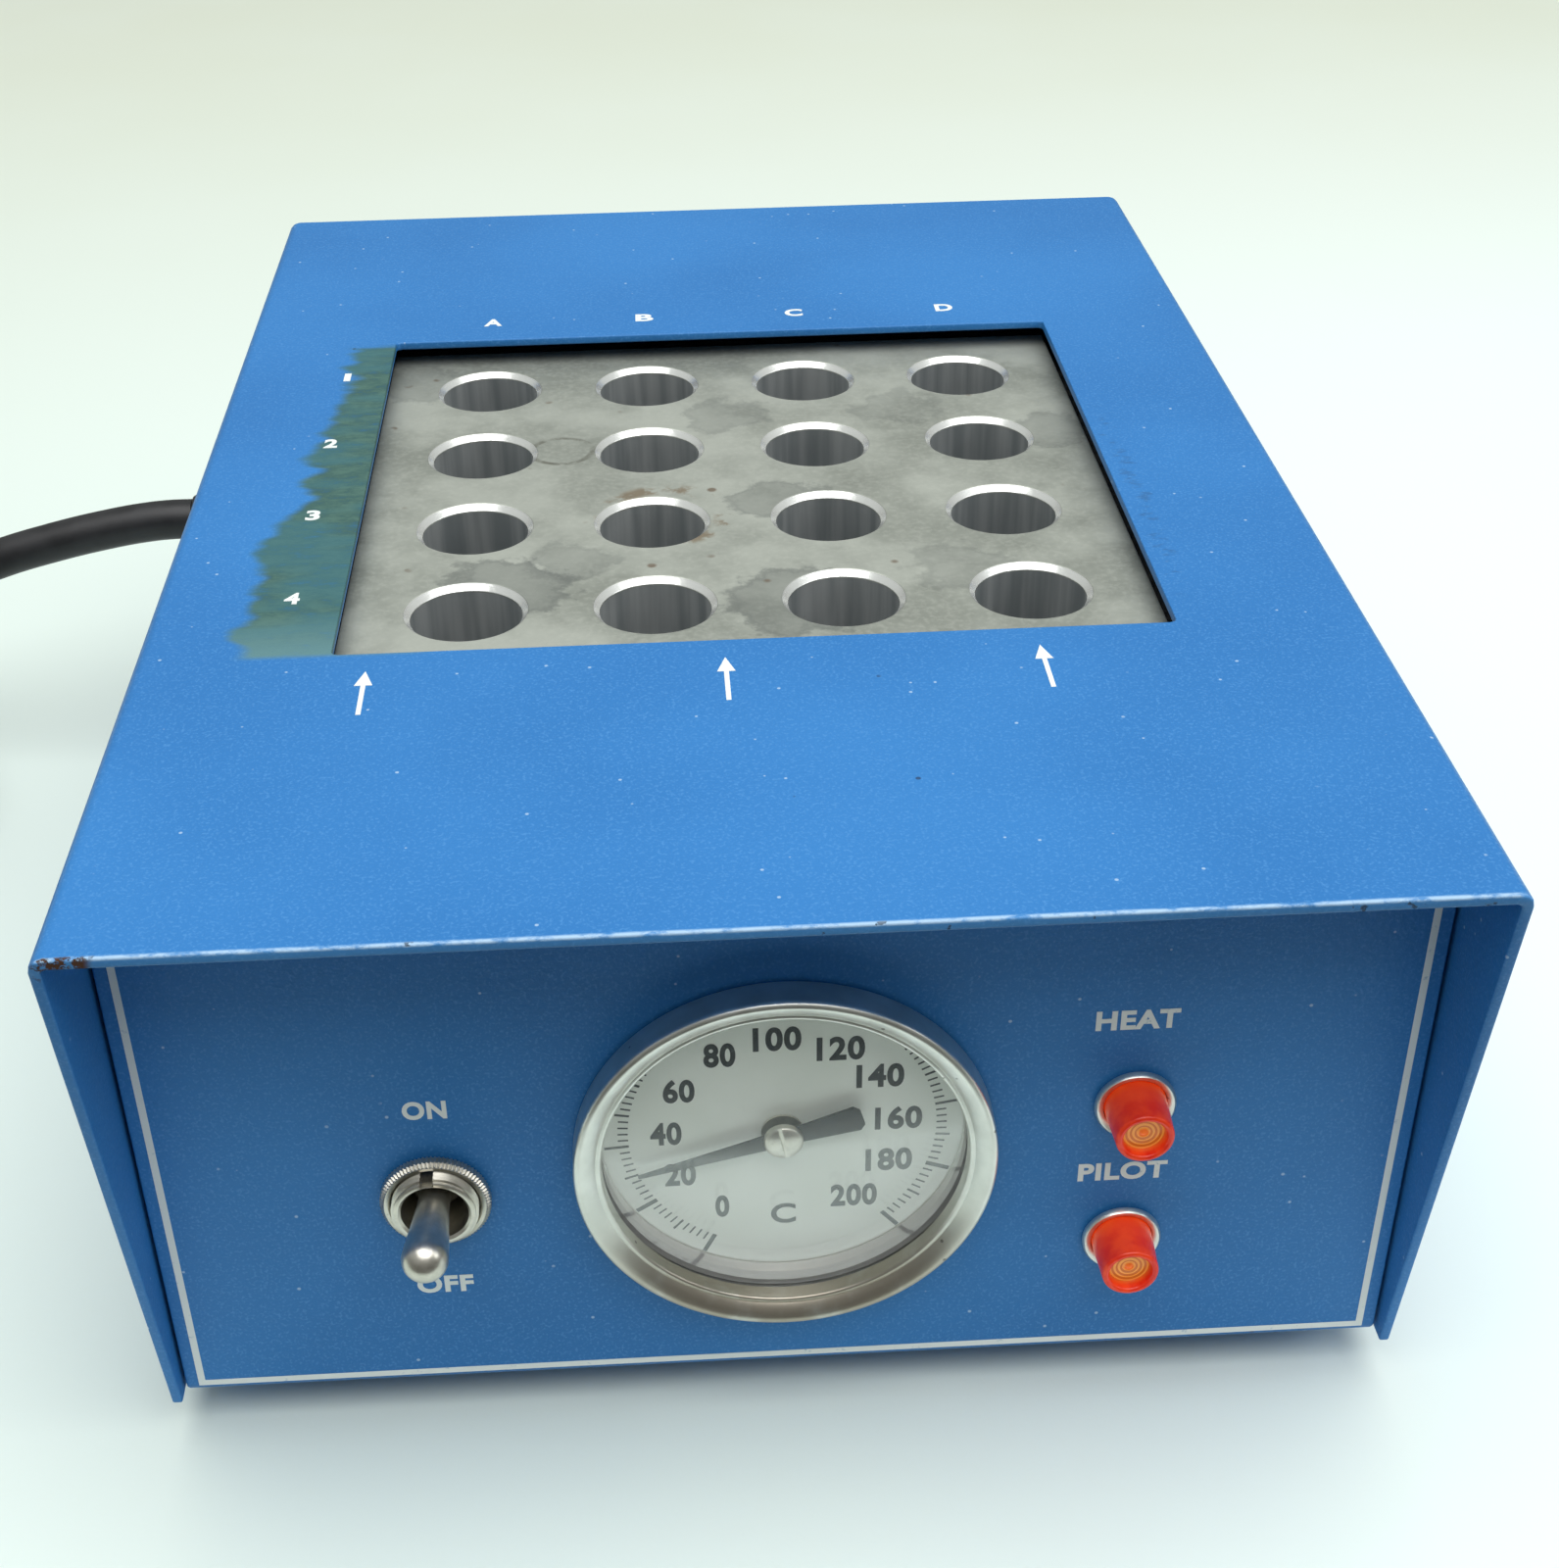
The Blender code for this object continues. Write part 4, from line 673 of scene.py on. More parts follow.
def drilled_block():
    bm = bmesh.new()
    size = [high - low for low, high in zip(block_low, block_high)]
    middle = [(low + high) / 2 for low, high in zip(block_low, block_high)]
    add_block(bm, size, Matrix.Translation(middle))
    bmesh.ops.bevel(bm, geom=bm.edges[:], offset=0.6 * MM, segments=2, affect="EDGES",
                    profile=0.7)
    block = into_object("drilled_block", bm)
    drills = bmesh.new()
    flare = WELL_RADIUS + WELL_CHAMFER + 0.5 * MM
    drill = [(0, -WELL_DEPTH - 2.2 * MM), (WELL_RADIUS - 0.6 * MM, -WELL_DEPTH),
             (WELL_RADIUS, -WELL_DEPTH + 0.6 * MM), (WELL_RADIUS, -WELL_CHAMFER),
             (flare, 0.5 * MM), (0, 0.5 * MM)]
    for x, y in well_centres():
        one = turned(drill, Matrix.Translation((x, y, block_high[2])), 72)
        mesh = bpy.data.meshes.new("drill")
        one.to_mesh(mesh)
        one.free()
        drills.from_mesh(mesh)
        bpy.data.meshes.remove(mesh)
    return cut(block, into_object("drill_set", drills))


heater_block = drilled_block()
fit(soften(heater_block, 0.12 * MM), block_metal(), stands_for=("heater_block",))
print("wells:", len(well_centres()))

# %% [markdown]
# The thermometer has a spun stainless bezel, a dished ring whose bright lips catch the light.
# Its face is brushed round and round by the spinning tool, so the finish follows the angle
# about the dial's middle, and its lower part is painted a dark warm brown, a painted reflection
# of the dark ground in front of the heater.

# %% Thermometer bezel and glass
def spun_steel(name, centre, dark_low_reflection=True):
    material, place = begin(name)
    away = place.moved(centre).stretched((1.0, 0.0, 1.0))
    rings = away.length().node("CombineXYZ", (), {0: away.length() * 3.0, 1: place.axis(1)})
    brushed = rings.clouds(0.35 * MM, 3.0, 0.6)
    patches = place.clouds(5 * MM, 4.0)
    colour = patches.rise(0.3, 0.7).blend((0.66, 0.67, 0.62, 1), (0.78, 0.79, 0.74, 1))
    if dark_low_reflection:
        # Painted reflection: the ring is painted dark warm brown towards its bottom, for the dark
        # ground in front that it mirrors there.
        low = 1 - (place.axis(2) - centre[2]).rise(-24 * MM, -4 * MM)
        colour = (low * 0.85 * patches.rise(0.15, 0.55)).blend(colour, (0.36, 0.31, 0.24, 1))
    colour = (place.specks(4.5 * MM, 0.04, 0.07) * 0.7).blend(colour, (0.12, 0.11, 0.10, 1))
    complete(place, brushed, 0.006 * MM, Base_Color=colour, Metallic=0.95,
             Roughness=0.26 + brushed * 0.12)
    return material


CRYSTAL_FRONT = 1.5 * MM
OPENING_RADIUS = 24.8 * MM
BEZEL_SHEET = 0.8 * MM
dial_place = facing_front(DIAL_X, DIAL_Z)
rim, reach = BEZEL_RADIUS, BEZEL_REACH
bezel_outline = [(rim, 0.6 * MM), (rim, reach - 1.0 * MM)]
bezel_outline += arc((rim - BEZEL_SHEET, reach - BEZEL_SHEET), BEZEL_SHEET, 0, 100, 6)
bezel_outline += [(rim - 1.3 * MM, reach - 0.16 * MM), (rim - 2.2 * MM, reach - 0.55 * MM),
                  (OPENING_RADIUS + 0.8 * MM, reach - 1.35 * MM)]
bezel_outline += arc((OPENING_RADIUS + 0.45 * MM, reach - 1.75 * MM), 0.45 * MM, 80, 180, 6)
bezel_outline += [(OPENING_RADIUS, CRYSTAL_FRONT + 0.15 * MM),
                  (OPENING_RADIUS + 0.7 * MM, CRYSTAL_FRONT + 0.15 * MM),
                  (OPENING_RADIUS + 0.9 * MM, reach - 2.4 * MM),
                  (rim - BEZEL_SHEET, reach - 1.7 * MM), (rim - BEZEL_SHEET, 0.6 * MM)]
spun = spun_steel("spun_stainless", (DIAL_X, PANEL_Y, DIAL_Z))
fit(into_object("dial_bezel", turned(bezel_outline, dial_place, 160), 50), spun,
    stands_for=("thermometer_bezel",))


def clear_glass():
    """Flat glass: a mirror that shows only as strongly as glass reflects at that slant."""
    material, place = begin("flat_glass")
    shine = place.node("Fresnel", (), {"IOR": 1.5})
    dust = place.dots(2.4 * MM).rise(0.07, 0.03) * place.clouds(9 * MM).rise(0.5, 0.7)
    complete(place, Base_Color=(0.95, 0.97, 0.96, 1), Metallic=1.0, Roughness=0.04 + dust * 0.3,
             Alpha=shine.rise(0.04, 1.0) * 0.25 + dust * 0.04)
    return material


glass_outline = [(0, 0.1 * MM), (25.9 * MM, 0.1 * MM), (25.9 * MM, 1.25 * MM),
                 (25.65 * MM, CRYSTAL_FRONT), (0, CRYSTAL_FRONT)]
fit(into_object("dial_glass", turned(glass_outline, dial_place, 128)), clear_glass(),
    stands_for=("thermometer_crystal",))
print("opening", round(2 * OPENING_RADIUS / MM, 1), "mm across")

# %% [markdown]
# A bright spacer ring holds the glass off the dial. Seen from above, its lower half mirrors the
# ends of the scale's marks, so it is given its real place and a nearly mirror finish, and the
# doubled marks come out of the reflection by themselves.

# %% Spacer ring under the glass
SPACER_BORE, SPACER_RADIUS = OPENING_RADIUS + 0.1 * MM, 25.8 * MM
SPACER_LOW, SPACER_HIGH = -3.3 * MM, 0.05 * MM


def mirror_bright():
    material, place = begin("mirror_bright_ring")
    complete(place, Base_Color=(0.94, 0.94, 0.95, 1), Metallic=0.55,
             Roughness=0.07 + place.clouds(3 * MM) * 0.1)
    return material


spacer_outline = [(SPACER_RADIUS, SPACER_LOW), (SPACER_RADIUS, SPACER_HIGH),
                  (SPACER_BORE, SPACER_HIGH), (SPACER_BORE, SPACER_LOW)]
fit(into_object("dial_spacer", turned(spacer_outline, dial_place, 160), 50), mirror_bright())

# %% [markdown]
# The dial is a satin white disc. Its scale runs clockwise from low left to low right, with a
# short mark for every two degrees, a longer one for every ten and the longest for every
# twenty. The marks are thin raised bars, as thick as a coat of screen ink, so they stay crisp
# from near by and stay in place on the exported mesh.

# %% Dial face and scale
SCALE_START = -152.7                              # clock angle of the zero mark, degrees
SCALE_STEP = 1.4585                               # sweep for each degree of heat
SCALE_TOP = 200
MARK_INNER = 21.2 * MM
FACE_DEPTH = -3.4 * MM
INK = 0.06 * MM
dial_face_place = dial_place @ Matrix.Translation((0, 0, FACE_DEPTH))


def satin_white():
    material, place = begin("satin_white_dial")
    haze = place.clouds(14 * MM, 4.0)
    from_middle = place.moved((DIAL_X, 0, DIAL_Z)).stretched((1, 0, 1)).length()
    colour = haze.rise(0.3, 0.7).blend(tint(236, 242, 233), tint(244, 249, 242))
    # The face is made a little darker and yellower towards its rim.
    rim_darkening = from_middle.rise(19 * MM, 26 * MM) * haze.rise(0.35, 0.7) * 0.4
    colour = rim_darkening.blend(colour, tint(214, 218, 205))
    complete(place, place.clouds(0.3 * MM, 2.0), 0.01 * MM, Base_Color=colour,
             Roughness=0.42 + haze * 0.1)
    return material


def ink(name, dark, pale, wear):
    """Screen ink with slightly uneven cover."""
    material, place = begin(name)
    cover = place.clouds(1.6 * MM, 4.0, 0.7)
    worn = cover.rise(0.62 - wear, 0.72 - wear * 0.5)
    complete(place, cover, 0.01 * MM, Base_Color=worn.blend(dark, pale),
             Roughness=0.48 + cover * 0.14)
    return material


def clock(angle, radius=0.0, height=0.0):
    """A place at a clock angle and a radius from the dial's middle, its Y pointing outwards."""
    turn = Matrix.Rotation(-math.radians(angle), 4, "Z")
    return turn @ Matrix.Translation((0, radius, height))


SPINDLE_HOLE, FACE_RADIUS, FACE_THICK = 1.0 * MM, 26.2 * MM, 0.6 * MM
face_outline = [(SPINDLE_HOLE, -FACE_THICK), (FACE_RADIUS, -FACE_THICK), (FACE_RADIUS, 0),
                (SPINDLE_HOLE, 0)]
fit(soften(into_object("dial_face", turned(face_outline, dial_face_place, 128)), 0.1 * MM),
    satin_white(), stands_for=("dial_plate",))

dark_ink = ink("dark_dial_ink", tint(34, 42, 47), tint(60, 68, 72), 0.05)
marks = bmesh.new()
for heat in range(0, SCALE_TOP + 1, 2):
    outer, thick = 22.6 * MM, 0.22 * MM
    if heat % 10 == 0:
        outer, thick = 23.2 * MM, 0.30 * MM
    if heat % 20 == 0:
        outer, thick = 24.6 * MM, 0.36 * MM
    if heat in (0, 20, SCALE_TOP - 20, SCALE_TOP):
        thick = 0.62 * MM
    place = clock(SCALE_START + heat * SCALE_STEP, (MARK_INNER + outer) / 2, INK / 2)
    add_block(marks, (thick, outer - MARK_INNER, INK), dial_face_place @ place)
fit(into_object("dial_scale", marks), dark_ink)
print("marks on the dial:", SCALE_TOP // 2 + 1)

# %% [markdown]
# Figures and words start as text, become a mesh, and are then scaled to the height and width
# that the printing plate gives them. Only plain figures, plain switch words and the letters of
# the rows are printed: where a maker would put a name, the sheet stays bare.

# %% Printed figures and words
LETTER_WEIGHT, LETTER_SPACING = 0.038, 1.08


def lettering(bm, text, place, width, height, weight=LETTER_WEIGHT):
    """Add text to a mesh, its middle at a place, scaled to a width and a height."""
    curve = bpy.data.curves.new("text", "FONT")
    curve.body = text
    curve.size = 1.0
    curve.offset = weight
    curve.extrude = 0.5
    curve.resolution_u = 5
    curve.space_character = LETTER_SPACING
    source = bpy.data.objects.new("text", curve)
    bpy.context.scene.collection.objects.link(source)
    bpy.context.view_layer.update()
    mesh = bpy.data.meshes.new_from_object(
        source.evaluated_get(bpy.context.evaluated_depsgraph_get()))
    bpy.data.objects.remove(source)
    corners = [(min(v.co[axis] for v in mesh.vertices), max(v.co[axis] for v in mesh.vertices))
               for axis in range(3)]
    sizes = (width, height, INK)
    scale = Matrix.Diagonal([size / (high - low)
                             for size, (low, high) in zip(sizes, corners)] + [1.0])
    centre = Matrix.Translation([-(low + high) / 2 for low, high in corners])
    mesh.transform(place @ Matrix.Translation((0, 0, INK / 2)) @ scale @ centre)
    bm.from_mesh(mesh)
    bpy.data.meshes.remove(mesh)


FIGURE_HEIGHT = 4.05 * MM
FIGURES = {0: -147.6, 20: -117.0, 40: -89.0, 60: -61.0, 80: -31.5, 100: -2.2, 120: 29.7,
           140: 56.3, 160: 85.4, 180: 112.9, 200: 141.7}
FIGURE_WIDTHS = {1: 1.95 * MM, 2: 4.3 * MM, 3: 6.5 * MM}
FIGURE_RADIUS = 16.0 * MM


def printed_figures():
    bm = bmesh.new()
    for figure, angle in FIGURES.items():
        turn = math.radians(angle)
        middle = Matrix.Translation((FIGURE_RADIUS * math.sin(turn),
                                     FIGURE_RADIUS * math.cos(turn), 0))
        lettering(bm, str(figure), dial_face_place @ middle, FIGURE_WIDTHS[len(str(figure))],
                  FIGURE_HEIGHT, 0.035)
    low = dial_face_place @ Matrix.Translation((0, -15.4 * MM, 0))
    lettering(bm, "C", low, 3.5 * MM, 3.7 * MM, 0.02)
    return into_object("dial_figures", bm)


fit(printed_figures(), dark_ink)

white_ink = ink("white_screen_ink", tint(226, 232, 230), tint(176, 196, 210), 0.0)
PANEL_WORDS = (("HEAT", 46.9, 68.0, 11.2, 3.2), ("PILOT", 46.9, 41.4, 12.4, 3.2),
               ("ON", -47.8, 58.2, 5.9, 3.1), ("OFF", -47.9, 26.3, 7.9, 3.2))
BORDER_HALF, BORDER_LOW, BORDER_HIGH, BORDER_LINE = 85.0 * MM, 8.5 * MM, 91.0 * MM, 1.0 * MM


def panel_print():
    bm = bmesh.new()
    for word, x, z, width, height in PANEL_WORDS:
        lettering(bm, word, facing_front(x * MM, z * MM), width * MM, height * MM)
    tall = BORDER_HIGH - BORDER_LOW
    middle_z = (BORDER_HIGH + BORDER_LOW) / 2
    for sign in (-1, 1):
        x = sign * (BORDER_HALF - BORDER_LINE / 2)
        add_block(bm, (BORDER_LINE, tall, INK),
                  facing_front(x, middle_z) @ Matrix.Translation((0, 0, INK / 2)))
    for z in (BORDER_LOW + BORDER_LINE / 2, BORDER_HIGH - BORDER_LINE / 2):
        add_block(bm, (2 * (BORDER_HALF - BORDER_LINE), BORDER_LINE, INK),
                  facing_front(0, z) @ Matrix.Translation((0, 0, INK / 2)))
    return into_object("panel_print", bm)


def add_arrow(bm, x, tail_y, tip_y):
    """A plain arrow that points back at the wells."""
    top, head, half = cover_high[2] + INK / 2, 4.0 * MM, 1.3 * MM
    shaft = tip_y - head - tail_y
    add_block(bm, (0.7 * MM, shaft, INK), Matrix.Translation((x, tail_y + shaft / 2, top)))
    corners = [(x - half, tip_y - head), (x + half, tip_y - head), (x, tip_y)]
    faces = [[bm.verts.new((px, py, top + side * INK / 2)) for px, py in corners]
             for side in (-1, 1)]
    bm.faces.new(reversed(faces[0]))
    bm.faces.new(faces[1])
    for index in range(3):
        after = (index + 1) % 3
        bm.faces.new((faces[0][index], faces[0][after], faces[1][after], faces[1][index]))


COVER_LETTER = 3.6 * MM


def cover_print():
    bm = bmesh.new()
    for letter, x in zip("ABCD", (-43.0, -14.3, 14.2, 43.0)):
        lettering(bm, letter, Matrix.Translation((x * MM, 68.1 * MM, cover_high[2])),
                  3.4 * MM, COVER_LETTER)
    for figure, y in zip("1234", (43.2, 13.8, -14.3, -42.9)):
        wide = 1.2 * MM if figure == "1" else 2.3 * MM
        lettering(bm, figure, Matrix.Translation((-68.2 * MM, y * MM, cover_high[2])),
                  wide, COVER_LETTER)
    for x in (-55.3, -4.8, 39.9):
        add_arrow(bm, x * MM, -78.0 * MM, -66.0 * MM)
    return into_object("cover_print", bm)


fit(panel_print(), white_ink)
fit(cover_print(), white_ink)

# %% [markdown]
# The pointer is a blade of dark sheet, narrow at the tip and wide at its balancing tail. It is
# pressed on a spindle whose domed, slotted head is the screw that sets the zero, and a thin
# collar on that spindle sits behind the blade. Both ride on the pointer's body and turn together.

# %% Pointer
POINTER_FACE = -1.5 * MM
POINTER_THICK = 0.4 * MM
RESTING_HEAT = 31.8                               # what the pointer reads at rest


def dark_blade():
    material, place = begin("dark_blade_lacquer")
    haze = place.clouds(3 * MM, 4.0)
    complete(place, haze, 0.01 * MM, Base_Color=haze.rise(0.3, 0.7).blend(tint(12, 18, 22),
                                                                          tint(26, 34, 40)),
             Roughness=0.38 + haze * 0.15)
    return material


def pointer_blade():
    tip, neck, tail, tail_half = 20.9 * MM, 1.3 * MM, 11.3 * MM, 2.1 * MM
    half = [(0.25 * MM, tip), (neck, 2.2 * MM), (neck, -1.5 * MM),
            (tail_half, 0.8 * MM - tail), (tail_half - 0.8 * MM, -tail)]
    outline = half + [(-x, y) for x, y in reversed(half)]
    bm = bmesh.new()
    flat = bm.faces.new([bm.verts.new((x, y, POINTER_FACE - POINTER_THICK)) for x, y in outline])
    raised = bmesh.ops.extrude_face_region(bm, geom=[flat])["geom"]
    bmesh.ops.translate(bm, vec=(0, 0, POINTER_THICK),
                        verts=[item for item in raised if isinstance(item, bmesh.types.BMVert)])
    at_rest = dial_place @ clock(SCALE_START + RESTING_HEAT * SCALE_STEP)
    bmesh.ops.transform(bm, matrix=at_rest, verts=bm.verts)
    return into_object("pointer_blade", bm)


def nickel_plate(name, grime):
    material, place = begin(name)
    patches = place.clouds(2.2 * MM, 4.0, 0.6)
    fine = place.clouds(0.25 * MM, 2.0)
    colour = patches.rise(0.3, 0.7).blend((0.56, 0.54, 0.47, 1), (0.71, 0.68, 0.60, 1))
    dull = place.dots(1.1 * MM).rise(0.30, 0.05) * patches.rise(0.45, 0.65)
    colour = (dull * grime).blend(colour, (0.17, 0.15, 0.10, 1))
    complete(place, fine, 0.008 * MM, Base_Color=colour, Metallic=0.95,
             Roughness=0.24 + patches * 0.16)
    return material


def zero_screw():
    """A domed head with a slot, on a thin spindle with a collar."""
    head, top = 2.7 * MM, 0.7 * MM
    dome = [(0, -4.0 * MM), (0.7 * MM, -4.0 * MM), (0.7 * MM, -3.2 * MM), (2.95 * MM, -3.2 * MM),
            (2.95 * MM, -2.9 * MM), (0.9 * MM, -2.9 * MM), (0.9 * MM, POINTER_FACE),
            (head, POINTER_FACE), (head, POINTER_FACE + top)]
    dome += [(head * math.cos(math.radians(angle)),
              POINTER_FACE + top + 0.7 * MM * math.sin(math.radians(angle)))
             for angle in (20, 40, 60, 80, 90)]
    dome[-1] = (0, dome[-1][1])
    screw = into_object("zero_screw", turned(dome, dial_place, 64))
    slot = bmesh.new()
    add_block(slot, (0.55 * MM, 6 * MM, 0.8 * MM),
              dial_place @ Matrix.Rotation(0.2, 4, "Z") @ Matrix.Translation((0, 0, -0.25 * MM)))
    return cut(screw, into_object("slot_cutter", slot))


fit(soften(pointer_blade(), 0.1 * MM), dark_blade(), "pointer", ("pointer",))
fit(soften(zero_screw(), 0.08 * MM), nickel_plate("bright_nickel", 0.2), "pointer",
    ("pointer_spindle",))
print("pointer at rest on", RESTING_HEAT)

# %% [markdown]
# The mains switch is a bat toggle. A knurled ring nut clamps its threaded bushing to the
# panel, and a keyway in the thread stops the switch from turning. The knurl is a toothed rim
# made by moving every second rim point inwards, and the lever is one turned outline, leaned up
# a little because the switch is on.

# %% Toggle switch
NUT_RADIUS = (nut_high[0] - nut_low[0]) / 2
BUSHING_RADIUS = 5.95 * MM
BUSHING_FRONT = 4.0 * MM
NUT_TEETH = 84
LEVER_LEAN = -12                                  # degrees, upwards from straight out
switch_place = facing_front(SWITCH_X, SWITCH_Z)
plated = nickel_plate("worn_nickel", 0.55)


def knurled_nut():
    outline = [(BUSHING_RADIUS + 0.12 * MM, 0.3 * MM), (NUT_RADIUS - 0.35 * MM, 0.3 * MM),
               (NUT_RADIUS, 0.65 * MM), (NUT_RADIUS, 1.75 * MM), (NUT_RADIUS - 0.5 * MM, 2.25 * MM),
               (BUSHING_RADIUS + 1.0 * MM, 2.4 * MM), (BUSHING_RADIUS + 0.45 * MM, 2.25 * MM),
               (BUSHING_RADIUS + 0.12 * MM, 1.9 * MM)]
    bm = turned(outline, Matrix.Identity(4), 2 * NUT_TEETH)
    for vert in bm.verts:
        away = math.hypot(vert.co.x, vert.co.y)
        tooth = round(math.degrees(math.atan2(vert.co.y, vert.co.x)) * NUT_TEETH / 180)
        if away > NUT_RADIUS - 0.6 * MM and tooth % 2:
            vert.co.xy *= (away - 0.32 * MM) / away
    bmesh.ops.transform(bm, matrix=switch_place, verts=bm.verts)
    return into_object("knurled_nut", bm, 30)


def threaded_bushing():
    bore, root, back = 4.6 * MM, BUSHING_RADIUS - 0.35 * MM, -7.9 * MM
    outline = [(bore, back), (BUSHING_RADIUS, back), (BUSHING_RADIUS, 0.2 * MM)]
    pitch = 0.7 * MM
    height = 1.0 * MM
    while height < BUSHING_FRONT - pitch:
        outline += [(root, height), (BUSHING_RADIUS, height + pitch / 2)]
        height += pitch
    outline += [(root, BUSHING_FRONT - 0.45 * MM), (root, BUSHING_FRONT - 0.15 * MM),
                (root - 0.2 * MM, BUSHING_FRONT), (bore + 0.35 * MM, BUSHING_FRONT),
                (bore, BUSHING_FRONT - 0.35 * MM)]
    bushing = into_object("threaded_bushing", turned(outline, switch_place, 96))
    key = bmesh.new()
    add_block(key, (1.8 * MM, 2.0 * MM, 30 * MM),
              switch_place @ Matrix.Rotation(math.radians(6.7), 4, "Z")
              @ Matrix.Translation((0, BUSHING_RADIUS + 0.05 * MM, 0)))
    return cut(bushing, into_object("key_cutter", key))


def bat_lever():
    """A round-ended lever, turned about its own length and leaned up."""
    pivot, reach, tip = -3.7 * MM, 21.0 * MM, 3.1 * MM
    profile = arc((0, 0), 3.9 * MM, -90, 40, 8)
    profile[0] = (0, -3.9 * MM)
    profile += [(2.35 * MM, 4.2 * MM), (2.15 * MM, 6.0 * MM), (2.2 * MM, 9.0 * MM),
                (2.5 * MM, 13.0 * MM), (2.85 * MM, 17.5 * MM)]
    profile += arc((0, reach), tip, 4, 90, 10)
    profile[-1] = (0, reach + tip)
    lean = (switch_place @ Matrix.Translation((0, 0, pivot))
            @ Matrix.Rotation(math.radians(LEVER_LEAN), 4, "X"))
    return into_object("bat_lever", turned(profile, lean, 64), 60)


fit(soften(knurled_nut(), 0.05 * MM, 1), plated, stands_for=("switch_nut",))
fit(soften(threaded_bushing(), 0.06 * MM, 1), plated, stands_for=("switch_bushing",))
fit(bat_lever(), nickel_plate("satin_lever_nickel", 0.25), "switch_lever",
    ("switch_lever",))

# %% [markdown]
# Two neon lamps show through moulded lenses. Each lens is a tapered red-orange cup, darker
# towards its rim, with a sunken amber end that has fine rings. The lens is one turned outline,
# and its colours change with the distance from the lamp's own middle and from the panel.

# %% Lamps
LENS_REACH = 8.0 * MM


def lens_finish(name, x, z):
    material, place = begin(name)
    away = place.moved((x, 0, z)).stretched((1, 0, 1)).length()
    out = (place.axis(1) - PANEL_Y) * -1
    glow = place.clouds(2.5 * MM, 3.0)
    wall = out.rise(0.5 * MM, 7.6 * MM).blend((0.90, 0.055, 0.008, 1), (0.62, 0.016, 0.006, 1))
    wall = (glow.rise(0.35, 0.7) * 0.35).blend(wall, (1.0, 0.11, 0.015, 1))
    disc = (1 - away.rise(2.75 * MM, 2.95 * MM)) * out.rise(5.0 * MM, 5.4 * MM)
    rings = away.maths("SINE", away * (2 * math.pi / (0.62 * MM)))
    amber = rings.rise(-0.6, 0.9).blend((0.62, 0.17, 0.02, 1), (0.95, 0.43, 0.08, 1))
    amber = (1 - away.rise(0.2 * MM, 1.0 * MM)).blend(amber, (1.0, 0.20, 0.03, 1))
    colour = disc.blend(wall, amber)
    complete(place, glow, 0.01 * MM, Base_Color=colour, Roughness=0.18 + glow * 0.1,
             Specular_IOR_Level=0.45, Emission_Color=colour, Emission_Strength=0.20)
    return material


def lamp_lens(name, place):
    outline = [(0, 0.1 * MM), (4.3 * MM, 0.1 * MM), (4.3 * MM, 0.6 * MM),
               (3.95 * MM, LENS_REACH - 0.6 * MM)]
    outline += arc((3.45 * MM, LENS_REACH - 0.5 * MM), 0.5 * MM, 10, 160, 6)
    outline += [(2.85 * MM, LENS_REACH - 1.5 * MM)]
    for step in range(9, 1, -1):
        outline.append((step * 0.31 * MM, LENS_REACH - (1.62 if step % 2 else 1.5) * MM))
    outline += [(0.3 * MM, LENS_REACH - 1.25 * MM), (0, LENS_REACH - 1.2 * MM)]
    return into_object(name, turned(outline, place, 72), 50)


def lamp_washer(name, place):
    outline = [(4.4 * MM, 0.3 * MM), (5.3 * MM, 0.3 * MM), (5.55 * MM, 0.5 * MM),
               (5.55 * MM, 1.05 * MM), (5.25 * MM, 1.4 * MM), (4.85 * MM, 1.35 * MM),
               (4.4 * MM, 1.05 * MM)]
    return into_object(name, turned(outline, place, 72), 50)


for lamp in ("heat_lamp", "pilot_lamp"):
    low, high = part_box(lamp + "_lens")
    x, z = (low[0] + high[0]) / 2, (low[2] + high[2]) / 2
    fit(lamp_lens(lamp + "_cup", facing_front(x, z)), lens_finish(lamp + "_red", x, z),
        stands_for=(lamp + "_lens",))
    fit(lamp_washer(lamp + "_washer", facing_front(x, z)),
        spun_steel(lamp + "_washer_steel", (x, PANEL_Y, z), False),
        stands_for=(lamp + "_bezel",))
print("lamps fitted, their lenses", round(LENS_REACH / MM, 1), "mm proud")

# %% [markdown]
# The lead leaves the cover through a moulded strain relief, a ribbed cone that spreads the
# bend so that the copper doesn't tire. The plug's body and its own cone are moulded in one
# with the jacket. Both are lofts: a row of rings, each a little larger or smaller than the
# last, joined by faces.

# %% Strain relief and plug
def moulded_rubber(name, pale):
    material, place = begin(name)
    cloud = place.clouds(5 * MM, 4.0)
    fine = place.clouds(0.35 * MM, 3.0, 0.6)
    colour = cloud.rise(0.35, 0.7).blend(tint(21, 21, 22), pale)
    dust = place.specks(2.2 * MM, 0.05, 0.09) * cloud.rise(0.5, 0.6)
    colour = (dust * 0.6).blend(colour, tint(130, 128, 122))
    complete(place, fine, 0.03 * MM, Base_Color=colour, Roughness=0.52 + cloud * 0.16)
    return material


